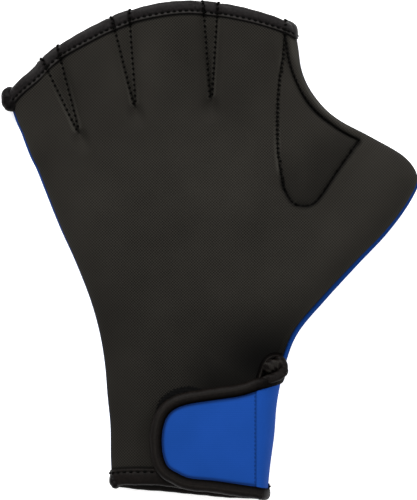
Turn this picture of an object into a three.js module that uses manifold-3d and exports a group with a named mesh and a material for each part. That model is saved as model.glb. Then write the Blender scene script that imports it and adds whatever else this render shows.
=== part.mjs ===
// A webbed swim glove of sheet neoprene, lying on its back with the palm up.
// Millimetres. X points to the thumb, Y to the fingers, Z up out of the palm.
import * as THREE from "three";
import { mergeVertices } from "three/addons/utils/BufferGeometryUtils.js";
import Module from "manifold-3d";

const wasm = await Module();
wasm.setup();

// The frame that the outlines are drawn in. The finished glove fills it to within the binding tape.
const GLOVE_WIDTH = 200;
const GLOVE_LENGTH = 240;

// Materials.
const SHEET = 2.2; // neoprene with a cloth face on both sides
const TAPE = 1.0; // binding tape
const HOOK_TAPE = 1.0; // hook side of the wrist fastening
const TAPE_GAP = 0.3; // binding tape to the sheet inside it
const SEAM_GAP = 0.3; // between two pieces that are sewn or laid together
const GROUND_GAP = 0.1; // under the binding, so that the glove rests on the back sheet

// Clear height between the palm sheet and the back sheet.
const CUFF_HOLLOW = 8;
const PALM_HOLLOW = 11;
const FINGER_HOLLOW = 9;

// How wide the binding covers the sheets.
const FINGER_BINDING = 5.2;
const CUFF_BINDING = 6.6;
const STRAP_BINDING = 4.6;

// How far the sheets take to roll from a seam up to their full height.
const PALM_ROLL = 14;
const BACK_ROLL = 10;
const WEB_ROLL = 7; // between the fingers, beside each stitched web
const WEB_FADE = 14; // from the root of a web down into the palm

// Seams at the sides.
const SEAM_HEIGHT = 6.9; // side seams, and the stitched webs between the fingers
const WEB_EDGE_SEAM_HEIGHT = 6.4; // under the edge between index finger and thumb
const SEAM_STEP = 0.6; // how far the back sheet stands out beside the palm sheet
const THUMB_SEAM_STEP = 1.6; // the same below the thumb, near the wrist slit
const WEB_EDGE_STEP = 1.2; // how far the palm sheet stands out over the web edge

// Wrist strap, from its seam to its round end, and the hook tape under it.
const STRAP_LENGTH = 49.5;
const STRAP_WIDTH = 55;
const HOOK_LENGTH = 40;
const HOOK_WIDTH = 32;

// Every outline below is in shares of GLOVE_WIDTH across and of GLOVE_LENGTH along, from the middle.
// A station runs from 0 at the cuff to 1 at the finger edge.
const SIDES = [
  { at: 0, leftAcross: -0.231, leftAlong: -0.468, rightAcross: 0.14, rightAlong: -0.494 },
  { at: 0.08, leftAcross: -0.234, leftAlong: -0.41, rightAcross: 0.145, rightAlong: -0.436 },
  { at: 0.16, leftAcross: -0.235, leftAlong: -0.35, rightAcross: 0.155, rightAlong: -0.37 },
  { at: 0.24, leftAcross: -0.24, leftAlong: -0.29, rightAcross: 0.162, rightAlong: -0.3 },
  { at: 0.3, leftAcross: -0.247, leftAlong: -0.226, rightAcross: 0.183, rightAlong: -0.23 },
  { at: 0.36, leftAcross: -0.261, leftAlong: -0.164, rightAcross: 0.212, rightAlong: -0.166 },
  { at: 0.43, leftAcross: -0.284, leftAlong: -0.096, rightAcross: 0.277, rightAlong: -0.1 },
  { at: 0.5, leftAcross: -0.32, leftAlong: -0.02, rightAcross: 0.354, rightAlong: -0.03 },
  { at: 0.57, leftAcross: -0.356, leftAlong: 0.046, rightAcross: 0.428, rightAlong: 0.036 },
  { at: 0.64, leftAcross: -0.392, leftAlong: 0.12, rightAcross: 0.484, rightAlong: 0.102 },
  { at: 0.69, leftAcross: -0.412, leftAlong: 0.162, rightAcross: 0.498, rightAlong: 0.146 },
  { at: 0.73, leftAcross: -0.426, leftAlong: 0.185, rightAcross: 0.47, rightAlong: 0.187 },
  { at: 0.79, leftAcross: -0.438, leftAlong: 0.21, rightAcross: 0.382, rightAlong: 0.227 },
  { at: 0.86, leftAcross: -0.448, leftAlong: 0.233, rightAcross: 0.277, rightAlong: 0.285 },
  { at: 0.93, leftAcross: -0.46, leftAlong: 0.258, rightAcross: 0.222, rightAlong: 0.362 },
  { at: 1, leftAcross: -0.483, leftAlong: 0.306, rightAcross: 0.206, rightAlong: 0.444 },
];
const SLIT_STATION = 0.3; // where the side seam ends and the wrist slit begins

// The palm sheet's free edge along the slit, hidden by the strap up to the small notch at the slit's end.
const SLIT_EDGE = [
  { at: 0.0, across: 0.096, along: -0.487 },
  { at: 0.12, across: 0.097, along: -0.396 },
  { at: 0.22, across: 0.103, along: -0.306 },
  { at: 0.27, across: 0.116, along: -0.254 },
  { at: 0.3, across: 0.136, along: -0.226 },
  { at: 0.33, across: 0.168, along: -0.207 },
  { at: 0.36, across: 0.206, along: -0.184 },
];

// How far the edges rise over the chord between their corners; "at" is a share of the chord.
const FINGER_EDGE = [
  { at: 0, rise: 0 },
  { at: 0.045, rise: 0.0226 },
  { at: 0.115, rise: 0.0548 },
  { at: 0.184, rise: 0.0742 },
  { at: 0.289, rise: 0.0938 },
  { at: 0.393, rise: 0.108 },
  { at: 0.497, rise: 0.1098 },
  { at: 0.602, rise: 0.1036 },
  { at: 0.706, rise: 0.0872 },
  { at: 0.81, rise: 0.0626 },
  { at: 0.88, rise: 0.0428 },
  { at: 0.95, rise: 0.0194 },
  { at: 1, rise: 0 },
];
const PALM_CUFF_EDGE = [
  { at: 0.0, rise: 0.0 },
  { at: 0.12, rise: 0.006 },
  { at: 0.3, rise: 0.01 },
  { at: 0.45, rise: 0.008 },
  { at: 0.62, rise: 0.003 },
  { at: 1.0, rise: 0.0 },
];
const BACK_CUFF_EDGE = [
  { at: 0.0, rise: 0.0 },
  { at: 1.0, rise: 0.0 },
];

// The stitched webs between the fingers: a root, and the ends of its two lines at the finger edge.
// cuffShare and cuffSpread say where the mesh lines that follow a web meet the cuff.
const WEBS = [
  { rootAcross: -0.314, rootAlong: 0.242, leftAcross: -0.399, leftAlong: 0.378, rightAcross: -0.361, rightAlong: 0.407, cuffShare: 0.25, cuffSpread: 0.02 },
  { rootAcross: -0.177, rootAlong: 0.293, leftAcross: -0.234, leftAlong: 0.464, rightAcross: -0.189, rightAlong: 0.483, cuffShare: 0.45, cuffSpread: 0.02 },
  { rootAcross: 0.006, rootAlong: 0.307, leftAcross: -0.015, leftAlong: 0.496, rightAcross: 0.024, rightAlong: 0.493, cuffShare: 0.68, cuffSpread: 0.02 },
];

// The thumb gusset's outline, from its tip at the finger binding down the palm seam, round and back.
const GUSSET = [
  { across: 0.182, along: 0.434 },
  { across: 0.178, along: 0.388 },
  { across: 0.168, along: 0.33 },
  { across: 0.164, along: 0.27 },
  { across: 0.166, along: 0.19 },
  { across: 0.179, along: 0.124 },
  { across: 0.203, along: 0.093 },
  { across: 0.232, along: 0.087 },
  { across: 0.258, along: 0.096 },
  { across: 0.308, along: 0.156 },
  { across: 0.362, along: 0.22 },
  { across: 0.34, along: 0.228 },
  { across: 0.305, along: 0.245 },
  { across: 0.256, along: 0.277 },
  { across: 0.221, along: 0.317 },
  { across: 0.194, along: 0.373 },
];

// The strap's outline, in shares of STRAP_LENGTH from its seam and of STRAP_WIDTH up from its lower corner.
const STRAP_SEAM = { across: 0.114, lower: -0.49 };
const STRAP = [
  { from: 0.0, up: 1.0 },
  { from: 0.165, up: 0.952 },
  { from: 0.4, up: 0.921 },
  { from: 0.63, up: 0.889 },
  { from: 0.765, up: 0.858 },
  { from: 0.88, up: 0.8 },
  { from: 0.96, up: 0.7 },
  { from: 1.0, up: 0.554 },
  { from: 1.0, up: 0.398 },
  { from: 0.965, up: 0.267 },
  { from: 0.905, up: 0.184 },
  { from: 0.815, up: 0.135 },
  { from: 0.685, up: 0.081 },
  { from: 0.4, up: 0.052 },
  { from: 0.11, up: 0.013 },
  { from: 0.0, up: 0.0 },
];
const HOOK_FROM = 0.215; // near end of the hook tape, as a share of STRAP_LENGTH from the strap's seam
const HOOK_UP = 0.28; // its lower edge, as a share of STRAP_WIDTH

// Mesh lines. Edge lines are distances in from a side, in shares of the roll; the rest are shares of a strip.
const EDGE_LINES = [0, 0.13, 0.33, 0.66];
const STATIONS = [0.09, 0.135, 0.18, 0.225, 0.262, 0.3, 0.345, 0.39, 0.44, 0.49, 0.54, 0.59, 0.635, 0.68, 0.72, 0.76, 0.8, 0.84, 0.88, 0.925];
const THUMB_STRIP_LINES = [0.14, 0.28, 0.43, 0.6, 0.8];
const CHANNEL_LINES = [0.2, 0.5, 0.8];
const FLAP_TURNS = [0.25, 0.5, 0.75, 1];
const FLAP_TURN_SHARE = 0.86; // share of the way to the strap's seam that the wrist fold takes to turn over
const LEAST_WEB_SPREAD = 0.004;
const LEAST_MITER = 0.15;
const LEAST_SLANT = 0.4;
const STATION_STEP = 0.01; // small steps in which curves are sampled
const EDGE_STEP = 0.02;

// Heights that follow from the sizes above. The binding lies near the ground and lifts the sheets it holds.
const TAPE_STACK = TAPE_GAP + TAPE;
const LIFT = TAPE_STACK + GROUND_GAP;
const CUFF_TOP = LIFT + SHEET + CUFF_HOLLOW + SHEET;
const PALM_TOP = SHEET + PALM_HOLLOW + SHEET;
const FINGER_TOP = LIFT + SHEET + FINGER_HOLLOW + SHEET;
const STRAP_BOTTOM = CUFF_TOP + SEAM_GAP + Math.max(HOOK_TAPE + SEAM_GAP, TAPE_STACK) + TAPE_STACK;
const STRAP_TOP = STRAP_BOTTOM + SHEET;
const EDGE_ROW = 1.5; // the row of mesh beside an edge lies this many binding widths in

const clamp01 = (value) => Math.min(1, Math.max(0, value));
const smoothstep = (value) => clamp01(value) ** 2 * (3 - 2 * clamp01(value));
const lerp = THREE.MathUtils.lerp;

// Height of a rolled edge: a quarter of an ellipse, 0 at the seam and 1 from one roll inwards.
const roll = (share) => Math.sqrt(1 - (1 - clamp01(share)) ** 2);

// The value of one column of a table at a station, on a smooth curve through the rows.
function columnAt(table, key, at) {
  const last = table.length - 1;
  let row = 0;
  while (row < last - 1 && at > table[row + 1].at) row += 1;
  const slope = (i) => {
    const before = table[Math.max(0, i - 1)];
    const after = table[Math.min(last, i + 1)];
    return (after[key] - before[key]) / (after.at - before.at);
  };
  const span = table[row + 1].at - table[row].at;
  const u = clamp01((at - table[row].at) / span);
  const start = table[row][key];
  const end = table[row + 1][key];
  return (
    start * (1 + 2 * u) * (1 - u) ** 2 +
    end * u * u * (3 - 2 * u) +
    span * u * (1 - u) * (slope(row) * (1 - u) - slope(row + 1) * u)
  );
}

const planPoint = (across, along) => new THREE.Vector2(across * GLOVE_WIDTH, along * GLOVE_LENGTH);

const leftSide = (at) => planPoint(columnAt(SIDES, "leftAcross", at), columnAt(SIDES, "leftAlong", at));
const rightSide = (at) => planPoint(columnAt(SIDES, "rightAcross", at), columnAt(SIDES, "rightAlong", at));
const slitEdge = (at) => planPoint(columnAt(SLIT_EDGE, "across", at), columnAt(SLIT_EDGE, "along", at));

// The direction of a side curve at a station.
const tangent = (side, at) => side(Math.min(1, at + STATION_STEP)).sub(side(Math.max(0, at - STATION_STEP))).normalize();

// A point moved towards the inside of the glove, square to a side curve. "turn" is 1 on the left and -1 on the right.
function inset(side, at, distance, turn) {
  const along = tangent(side, at);
  return side(at).add(new THREE.Vector2(along.y, -along.x).multiplyScalar(turn * distance));
}

// The edge between index finger and thumb: 0 below the thumb's tip, 1 above it.
const webEdge = (at) => smoothstep((at - 0.66) / 0.08);

const seamHeight = (at) => lerp(SEAM_HEIGHT, WEB_EDGE_SEAM_HEIGHT, smoothstep((at - 0.56) / 0.24));

// How far the palm sheet's edge lies inside the outline on the thumb side; the back's lies inside it over the web edge.
const thumbSideStep = (at) => lerp(THUMB_SEAM_STEP, SEAM_STEP, smoothstep((at - 0.35) / 0.25));
const palmStep = (at) => thumbSideStep(at) * (1 - webEdge(at));
const backStep = (at) => WEB_EDGE_STEP * webEdge(at);

const slitEnd = SLIT_EDGE[SLIT_EDGE.length - 1].at;
const PALM = {
  left: (at) => inset(leftSide, at, SEAM_STEP, 1),
  right: (at) => (at < slitEnd ? slitEdge(at) : inset(rightSide, at, palmStep(at), -1)),
  cuff: PALM_CUFF_EDGE,
  sewnFrom: slitEnd,
};
const BACK = {
  left: leftSide,
  right: (at) => inset(rightSide, at, backStep(at), -1),
  cuff: BACK_CUFF_EDGE,
  sewnFrom: 0,
};

// A point of a sheet's plan: share 0 to 1 across, station 0 to 1 along, stretched between its four edges.
function planAt(sheet, share, at) {
  const cuffRise = columnAt(sheet.cuff, "rise", share) * (1 - at);
  const fingerRise = columnAt(FINGER_EDGE, "rise", share) * at ** 3;
  const point = sheet.left(at).lerp(sheet.right(at), share);
  return point.setY(point.y + (cuffRise + fingerRise) * GLOVE_LENGTH);
}

// A web's lines in plan, and a frame on its root with "up" towards the finger edge.
const webs = WEBS.map((row) => {
  const root = planPoint(row.rootAcross, row.rootAlong);
  const left = planPoint(row.leftAcross, row.leftAlong);
  const right = planPoint(row.rightAcross, row.rightAlong);
  const up = left.clone().lerp(right, 0.5).sub(root);
  return { root, left, right, length: up.length(), up: up.normalize(), halfWidth: left.distanceTo(right) / 2, ...row };
});

// 1 where a web holds the sheets together, falling to 0 in the open channels and in the palm.
function webHold(point) {
  let open = 1;
  for (const web of webs) {
    const offset = point.clone().sub(web.root);
    const upward = offset.dot(web.up);
    const sideways = Math.abs(offset.cross(web.up));
    const outside = Math.max(0, sideways - web.halfWidth * clamp01(upward / web.length));
    const held = smoothstep(1 + Math.min(0, upward) / WEB_FADE);
    open *= 1 - held * (1 - roll(outside / WEB_ROLL));
  }
  return 1 - open;
}

// Distance from a point to the sewn sides of a sheet, and the station where it is nearest.
function sewnSides(sheet) {
  const samples = [];
  for (let at = 0; at <= 1.0001; at += 0.02) samples.push({ at, point: sheet.left(Math.min(1, at)), height: SEAM_HEIGHT });
  samples.push(null);
  for (let at = sheet.sewnFrom; at <= 1.0001; at += 0.01) {
    samples.push({ at, point: sheet.right(Math.min(1, at)), height: seamHeight(at) });
  }
  return samples;
}
function nearestSeam(samples, point) {
  let nearest = { distance: Infinity, height: SEAM_HEIGHT };
  for (let i = 1; i < samples.length; i += 1) {
    const a = samples[i - 1];
    const b = samples[i];
    if (!a || !b) continue;
    const along = b.point.clone().sub(a.point);
    const share = clamp01(point.clone().sub(a.point).dot(along) / along.lengthSq());
    const distance = a.point.clone().lerp(b.point, share).distanceTo(point);
    if (distance < nearest.distance) nearest = { distance, height: lerp(a.height, b.height, share) };
  }
  return nearest;
}

const palmTop = (at) => {
  const wristToPalm = lerp(CUFF_TOP, PALM_TOP, smoothstep((at - 0.3) / 0.2));
  return lerp(wristToPalm, FINGER_TOP, smoothstep((at - 0.6) / 0.3));
};

// How strongly an edge binding holds a point: 1 under the tape, 0 from one fade further in.
const EDGE_FADE = 12;
const heldByTape = (fromEdge, width) => 1 - smoothstep((fromEdge - EDGE_ROW * width) / EDGE_FADE);

// Outer height of both sheets at a point of the plan.
function heights(sheet, point, share, at) {
  const seam = nearestSeam(sheet.samples, point);
  const hold = webHold(point);
  const fromFingers = point.distanceTo(planAt(sheet, share, 1));
  const fromCuff = point.distanceTo(planAt(sheet, share, 0));
  const fingerTape = heldByTape(fromFingers, FINGER_BINDING);
  const cuffTape = heldByTape(fromCuff, CUFF_BINDING);
  const webHalf = lerp(SEAM_GAP / 2, TAPE_STACK + SEAM_GAP / 2, fingerTape) + SHEET;
  const ground = LIFT * Math.max(fingerTape, cuffTape);
  const palmOpen = lerp(seam.height + SEAM_GAP / 2, palmTop(at), roll(seam.distance / PALM_ROLL));
  const backOpen = lerp(seam.height - SEAM_GAP / 2, ground, roll(seam.distance / BACK_ROLL));
  return {
    palm: lerp(palmOpen, SEAM_HEIGHT + webHalf, hold),
    back: lerp(backOpen, SEAM_HEIGHT - webHalf, hold),
  };
}

// The share at which a row of the plan crosses a line through a point.
function crossing(sheet, at, through, direction) {
  let low = 0;
  let high = 1;
  for (let i = 0; i < 30; i += 1) {
    const middle = (low + high) / 2;
    const side = planAt(sheet, middle, at).sub(through).cross(direction);
    if (side < 0) low = middle;
    else high = middle;
  }
  return (low + high) / 2;
}

// Where each web's root lies in a sheet's stations and shares.
function webRoot(sheet, web) {
  let low = 0.5;
  let high = 1;
  for (let i = 0; i < 30; i += 1) {
    const at = (low + high) / 2;
    const share = crossing(sheet, at, web.root, web.up);
    if (planAt(sheet, share, at).sub(web.root).dot(web.up) < 0) low = at;
    else high = at;
  }
  return { at: low, share: crossing(sheet, low, web.root, web.up) };
}

// The shares of one row's mesh lines. They follow the webs' stitched lines and lie closer beside the sides.
function rowShares(sheet, roots, at) {
  const length = sheet.left(at).distanceTo(sheet.right(at));
  const lines = (side, from, to) => {
    const row = planAt(sheet, to, at).sub(planAt(sheet, from, at)).normalize();
    const slant = Math.max(LEAST_SLANT, Math.abs(row.cross(tangent(side, at))));
    return EDGE_LINES.map((line) => (line * PALM_ROLL) / (length * slant));
  };
  const edge = lines(sheet.left, 0, EDGE_STEP);
  const spines = [];
  webs.forEach((web, i) => {
    const root = roots[i];
    if (at > root.at) {
      const middle = crossing(sheet, at, web.root, web.up);
      const left = crossing(sheet, at, web.root, web.left.clone().sub(web.root));
      const right = crossing(sheet, at, web.root, web.right.clone().sub(web.root));
      spines.push(Math.min(left, middle - LEAST_WEB_SPREAD), Math.max(right, middle + LEAST_WEB_SPREAD));
    } else {
      const climb = at / root.at;
      const middle = lerp(web.cuffShare, root.share, climb);
      const spread = lerp(web.cuffSpread, LEAST_WEB_SPREAD, climb);
      spines.push(middle - spread, middle + spread);
    }
  });
  const between = (from, to, lines) => lines.map((line) => lerp(from, to, line));
  const rightEdge = lines(sheet.right, 1 - EDGE_STEP, 1).map((line) => 1 - line).reverse();
  return [
    ...edge,
    (edge[edge.length - 1] + spines[0]) / 2,
    spines[0],
    spines[1],
    ...between(spines[1], spines[2], CHANNEL_LINES),
    spines[2],
    spines[3],
    ...between(spines[3], spines[4], CHANNEL_LINES),
    spines[4],
    spines[5],
    ...between(spines[5], rightEdge[0], THUMB_STRIP_LINES),
    ...rightEdge,
  ];
}

// All stations, with one close to each edge for the binding to hold.
const stations = [
  0,
  (EDGE_ROW * CUFF_BINDING) / GLOVE_LENGTH,
  ...STATIONS,
  1 - (EDGE_ROW * FINGER_BINDING) / GLOVE_LENGTH,
  1,
];
const slitRow = stations.indexOf(SLIT_STATION);

// A grid of outer points, one row per station.
function outerGrid(sheet, which) {
  sheet.samples = sewnSides(sheet);
  const roots = webs.map((web) => webRoot(sheet, web));
  return stations.map((at) =>
    rowShares(sheet, roots, at).map((share) => {
      const point = planAt(sheet, share, at);
      return new THREE.Vector3(point.x, point.y, heights(sheet, point, share, at)[which]);
    }),
  );
}

// The wrist fold: the back sheet goes on round the thumb side and over, up to the strap's seam.
function addWristFold(grid) {
  const lower = new THREE.Vector2(STRAP_SEAM.across * GLOVE_WIDTH, STRAP_SEAM.lower * GLOVE_LENGTH);
  grid.forEach((row, i) => {
    if (i > slitRow) return;
    const side = row[row.length - 1].clone();
    const seam = lower.clone();
    const climb = (side.y - grid[0][row.length - 1].y) / (grid[slitRow][grid[slitRow].length - 1].y - grid[0][row.length - 1].y);
    seam.y += climb * STRAP_WIDTH;
    for (const turn of FLAP_TURNS) {
      const angle = (turn * Math.PI) / 2;
      const inwards = (1 - Math.cos(angle)) * FLAP_TURN_SHARE;
      row.push(
        new THREE.Vector3(
          lerp(side.x, seam.x, inwards),
          lerp(side.y, seam.y, inwards),
          lerp(side.z, STRAP_TOP, Math.sin(angle)),
        ),
      );
    }
    row.push(new THREE.Vector3(seam.x + SEAM_GAP / 2, seam.y, STRAP_TOP));
  });
  return grid;
}

// Unit normals of a grid, out of the glove. "facing" is 1 for the palm and -1 for the back.
// They lie level where the sheet is sewn at its side, and upright at the strap's seam.
function gridNormals(grid, facing, isSeam, isStrapSeam = () => false) {
  return grid.map((row, i) =>
    row.map((point, j) => {
      const before = row[j - 1] ?? point;
      const after = row[j + 1] ?? point;
      const below = grid[i - 1]?.[j] ?? point;
      const above = grid[i + 1]?.[j] ?? point;
      const normal = after.clone().sub(before).cross(above.clone().sub(below)).multiplyScalar(facing);
      if (isSeam(i, j, row)) normal.z = 0;
      if (isStrapSeam(j, row)) normal.set(0, 0, 1);
      return normal.normalize();
    }),
  );
}

const innerGrid = (grid, normals) =>
  grid.map((row, i) => row.map((point, j) => point.clone().addScaledVector(normals[i][j], -SHEET)));

// One closed solid between an outer and an inner grid, over the cells whose four corners exist.
function sheetSolid(outer, inner, facing) {
  const positions = [];
  const add = (...points) => {
    const ordered = facing > 0 ? points : [...points].reverse();
    for (const point of ordered) positions.push(point.x, point.y, point.z);
  };
  const isCell = (i, j) => i >= 0 && j >= 0 && Boolean(outer[i + 1]?.[j + 1] && outer[i]?.[j + 1]);
  outer.forEach((row, i) =>
    row.forEach((_, j) => {
      if (!isCell(i, j)) return;
      const corners = [
        [i, j],
        [i, j + 1],
        [i + 1, j + 1],
        [i + 1, j],
      ];
      const [a, b, c, d] = corners.map(([m, n]) => outer[m][n]);
      const [e, f, g, h] = corners.map(([m, n]) => inner[m][n]);
      add(a, b, c);
      add(a, c, d);
      add(e, g, f);
      add(e, h, g);
      const beyond = [isCell(i - 1, j), isCell(i, j + 1), isCell(i + 1, j), isCell(i, j - 1)];
      corners.forEach(([m, n], side) => {
        if (beyond[side]) return;
        const [p, q] = corners[(side + 1) % 4];
        add(outer[p][q], outer[m][n], inner[m][n]);
        add(outer[p][q], inner[m][n], inner[p][q]);
      });
    }),
  );
  return geometryFrom(positions);
}

function geometryFrom(positions) {
  return new THREE.BufferGeometry().setAttribute("position", new THREE.Float32BufferAttribute(positions, 3));
}

// A station of a binding: the sheet's edge and a place further in, each with its outer and inner face.
const frameFrom = (outer, inner, i, j, m, n) => ({
  edge: outer[i][j].clone().lerp(inner[i][j], 0.5),
  within: outer[m][n].clone().lerp(inner[m][n], 0.5),
  edgeNormal: outer[i][j].clone().sub(inner[i][j]).normalize(),
  withinNormal: outer[m][n].clone().sub(inner[m][n]).normalize(),
});

// The section of folded tape round a sheet's edge: distance in from the edge, and height over mid-sheet.
function bindingSection(width) {
  const slot = SHEET / 2 + TAPE_GAP;
  const face = slot + TAPE;
  const nose = TAPE_STACK;
  const half = [
    [width, face],
    [nose * 0.4, face],
    [-nose, face * 0.4],
  ];
  return [
    ...half,
    ...half.map(([inward, height]) => [inward, -height]).reverse(),
    [width, -slot],
    [-TAPE_GAP, -slot],
    [-TAPE_GAP, slot],
    [width, slot],
  ];
}

// Folded tape along a row of frames, closed at both ends.
function bindingSolid(frames, width) {
  const section = bindingSection(width);
  const rings = frames.map(({ edge, within, edgeNormal, withinNormal }) => {
    const reach = edge.distanceTo(within);
    const inwards = within.clone().sub(edge).normalize();
    return section.map(([inward, height]) => {
      const normal = edgeNormal.clone().lerp(withinNormal, clamp01(inward / reach)).normalize();
      return edge.clone().addScaledVector(inwards, inward).addScaledVector(normal, height);
    });
  });
  const positions = [];
  const add = (...points) => points.forEach((point) => positions.push(point.x, point.y, point.z));
  for (let i = 1; i < rings.length; i += 1) {
    for (let j = 0; j < section.length; j += 1) {
      const k = (j + 1) % section.length;
      const [a, b, c, d] = [rings[i - 1][j], rings[i - 1][k], rings[i][k], rings[i][j]];
      // Each face is split the way the sheet under it is split.
      if (section[j][0] > section[k][0]) {
        add(a, b, c);
        add(a, c, d);
      } else {
        add(a, b, d);
        add(b, c, d);
      }
    }
  }
  const contour = section.map(([inward, height]) => new THREE.Vector2(inward, height));
  for (const [a, b, c] of THREE.ShapeUtils.triangulateShape(contour, [])) {
    const first = rings[0];
    const last = rings[rings.length - 1];
    add(first[a], first[c], first[b]);
    add(last[a], last[b], last[c]);
  }
  const geometry = geometryFrom(positions);
  return toSolid(geometry).volume() < 0 ? turnedInsideOut(geometry) : geometry;
}

function turnedInsideOut(geometry) {
  const source = geometry.getAttribute("position");
  const positions = [];
  for (let i = 0; i < source.count; i += 3) {
    for (const k of [i, i + 2, i + 1]) positions.push(source.getX(k), source.getY(k), source.getZ(k));
  }
  return geometryFrom(positions);
}

function toSolid(geometry) {
  const bare = geometry.clone();
  bare.deleteAttribute("normal");
  bare.deleteAttribute("uv");
  const merged = mergeVertices(bare, 1e-4);
  return new wasm.Manifold(
    new wasm.Mesh({
      numProp: 3,
      vertProperties: merged.getAttribute("position").array,
      triVerts: new Uint32Array(merged.index.array),
    }),
  );
}

function fromSolid(solid) {
  const { vertProperties, triVerts, numProp } = solid.getMesh();
  const positions = [];
  for (const v of triVerts) positions.push(...vertProperties.subarray(v * numProp, v * numProp + 3));
  return geometryFrom(positions);
}

// A closed outline moved outwards by a distance, corner by corner.
function grown(outline, distance) {
  const turn = Math.sign(THREE.ShapeUtils.area(outline));
  return outline.map((point, i) => {
    const before = outline[(i + outline.length - 1) % outline.length];
    const after = outline[(i + 1) % outline.length];
    const arriving = point.clone().sub(before).normalize();
    const leaving = after.clone().sub(point).normalize();
    const along = arriving.clone().add(leaving).normalize();
    const miter = distance / Math.max(LEAST_MITER, along.dot(arriving));
    return point.clone().add(new THREE.Vector2(along.y, -along.x).multiplyScalar(turn * miter));
  });
}

// A plate or cutter of an outline, between two heights.
function plate(outline, bottom, top) {
  const geometry = new THREE.ExtrudeGeometry(new THREE.Shape(outline), { depth: top - bottom, bevelEnabled: false });
  return geometry.translate(0, 0, bottom);
}

// The palm sheet and the gusset that is let into it.
const palmOuter = outerGrid(PALM, "palm");
const palmIsSeam = (i, j, row) => j === 0 || (j === row.length - 1 && stations[i] >= slitEnd);
const palmInner = innerGrid(palmOuter, gridNormals(palmOuter, 1, palmIsSeam));
const gussetOutline = GUSSET.map((row) => planPoint(row.across, row.along));
const palmWhole = toSolid(sheetSolid(palmOuter, palmInner, 1));
const gussetCutter = (distance) => toSolid(plate(grown(gussetOutline, distance), -PALM_TOP, 2 * PALM_TOP));
const palmGeometry = fromSolid(palmWhole.subtract(gussetCutter(SEAM_GAP / 2)));
const gussetGeometry = fromSolid(palmWhole.intersect(gussetCutter(-SEAM_GAP / 2)));

// The back sheet with the wrist fold.
const backOuter = addWristFold(outerGrid(BACK, "back"));
const backColumns = backOuter[slitRow + 1].length;
const backIsSeam = (i, j) => j === 0 || j === backColumns - 1;
const backIsStrapSeam = (j, row) => j >= backColumns && j === row.length - 1;
const backInner = innerGrid(backOuter, gridNormals(backOuter, -1, backIsSeam, backIsStrapSeam));
const backGeometry = sheetSolid(backOuter, backInner, -1);

// The strap: a flat tab that goes on from the wrist fold.
const strapSeam = new THREE.Vector2(STRAP_SEAM.across * GLOVE_WIDTH, STRAP_SEAM.lower * GLOVE_LENGTH);
const strapPoint = (from, up) =>
  new THREE.Vector2(strapSeam.x - SEAM_GAP / 2 - from * STRAP_LENGTH, strapSeam.y + up * STRAP_WIDTH);
const strapOutline = STRAP.map((row) => strapPoint(row.from, row.up));
const strapGeometry = plate(strapOutline, STRAP_BOTTOM, STRAP_TOP);
const hookCorner = strapPoint(HOOK_FROM, HOOK_UP);
const hookOutline = [
  hookCorner,
  hookCorner.clone().add(new THREE.Vector2(0, HOOK_WIDTH)),
  hookCorner.clone().add(new THREE.Vector2(-HOOK_LENGTH, HOOK_WIDTH)),
  hookCorner.clone().add(new THREE.Vector2(-HOOK_LENGTH, 0)),
];
const hookBottom = CUFF_TOP + SEAM_GAP;
const hookGeometry = plate(hookOutline, hookBottom, hookBottom + HOOK_TAPE);

// Bindings along rows of the sheets.
const lastRow = stations.length - 1;
const rowFrames = (outer, inner, row, next, columns) =>
  outer[row].slice(0, columns).map((_, j) => frameFrom(outer, inner, row, j, next, j));

const fingerPalmFrames = rowFrames(palmOuter, palmInner, lastRow, lastRow - 1);
const fingerBackFrames = rowFrames(backOuter, backInner, lastRow, lastRow - 1);
const cuffPalmFrames = rowFrames(palmOuter, palmInner, 0, 1).reverse();
const cuffBackFrames = rowFrames(backOuter, backInner, 0, 1, backColumns).reverse();

// The palm's free edge along the slit.
const slitFrames = [];
for (let i = 1; i < palmOuter.length && stations[i] < slitEnd; i += 1) {
  const j = palmOuter[i].length - 1;
  slitFrames.push(frameFrom(palmOuter, palmInner, i, j, i, j - 2));
}

// The strap's edge, from the slit over the fold, round the tab and back over the fold to the cuff.
const strapFrames = [];
const foldEnd = backOuter[0].length - 1;
for (let j = backColumns; j < foldEnd; j += 1) strapFrames.push(frameFrom(backOuter, backInner, slitRow, j, slitRow - 1, j));
const strapInside = grown(strapOutline, -STRAP_BINDING);
strapInside[0].setX(strapOutline[0].x);
strapInside[strapInside.length - 1].setX(strapOutline[0].x);
const strapMiddle = (STRAP_BOTTOM + STRAP_TOP) / 2;
strapOutline.forEach((point, i) => {
  const upright = new THREE.Vector3(0, 0, 1);
  strapFrames.push({
    edge: new THREE.Vector3(point.x, point.y, strapMiddle),
    within: new THREE.Vector3(strapInside[i].x, strapInside[i].y, strapMiddle),
    edgeNormal: upright,
    withinNormal: upright,
  });
});
for (let j = foldEnd - 1; j >= backColumns; j -= 1) strapFrames.push(frameFrom(backOuter, backInner, 0, j, 1, j));

const blackCloth = { color: 0x2a2924, roughness: 0.85, metalness: 0 };
const blueCloth = { color: 0x1e4b9f, roughness: 0.7, metalness: 0 };
const blackTape = { color: 0x201e1f, roughness: 0.65, metalness: 0 };
const blackHook = { color: 0x121212, roughness: 0.9, metalness: 0 };

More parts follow.
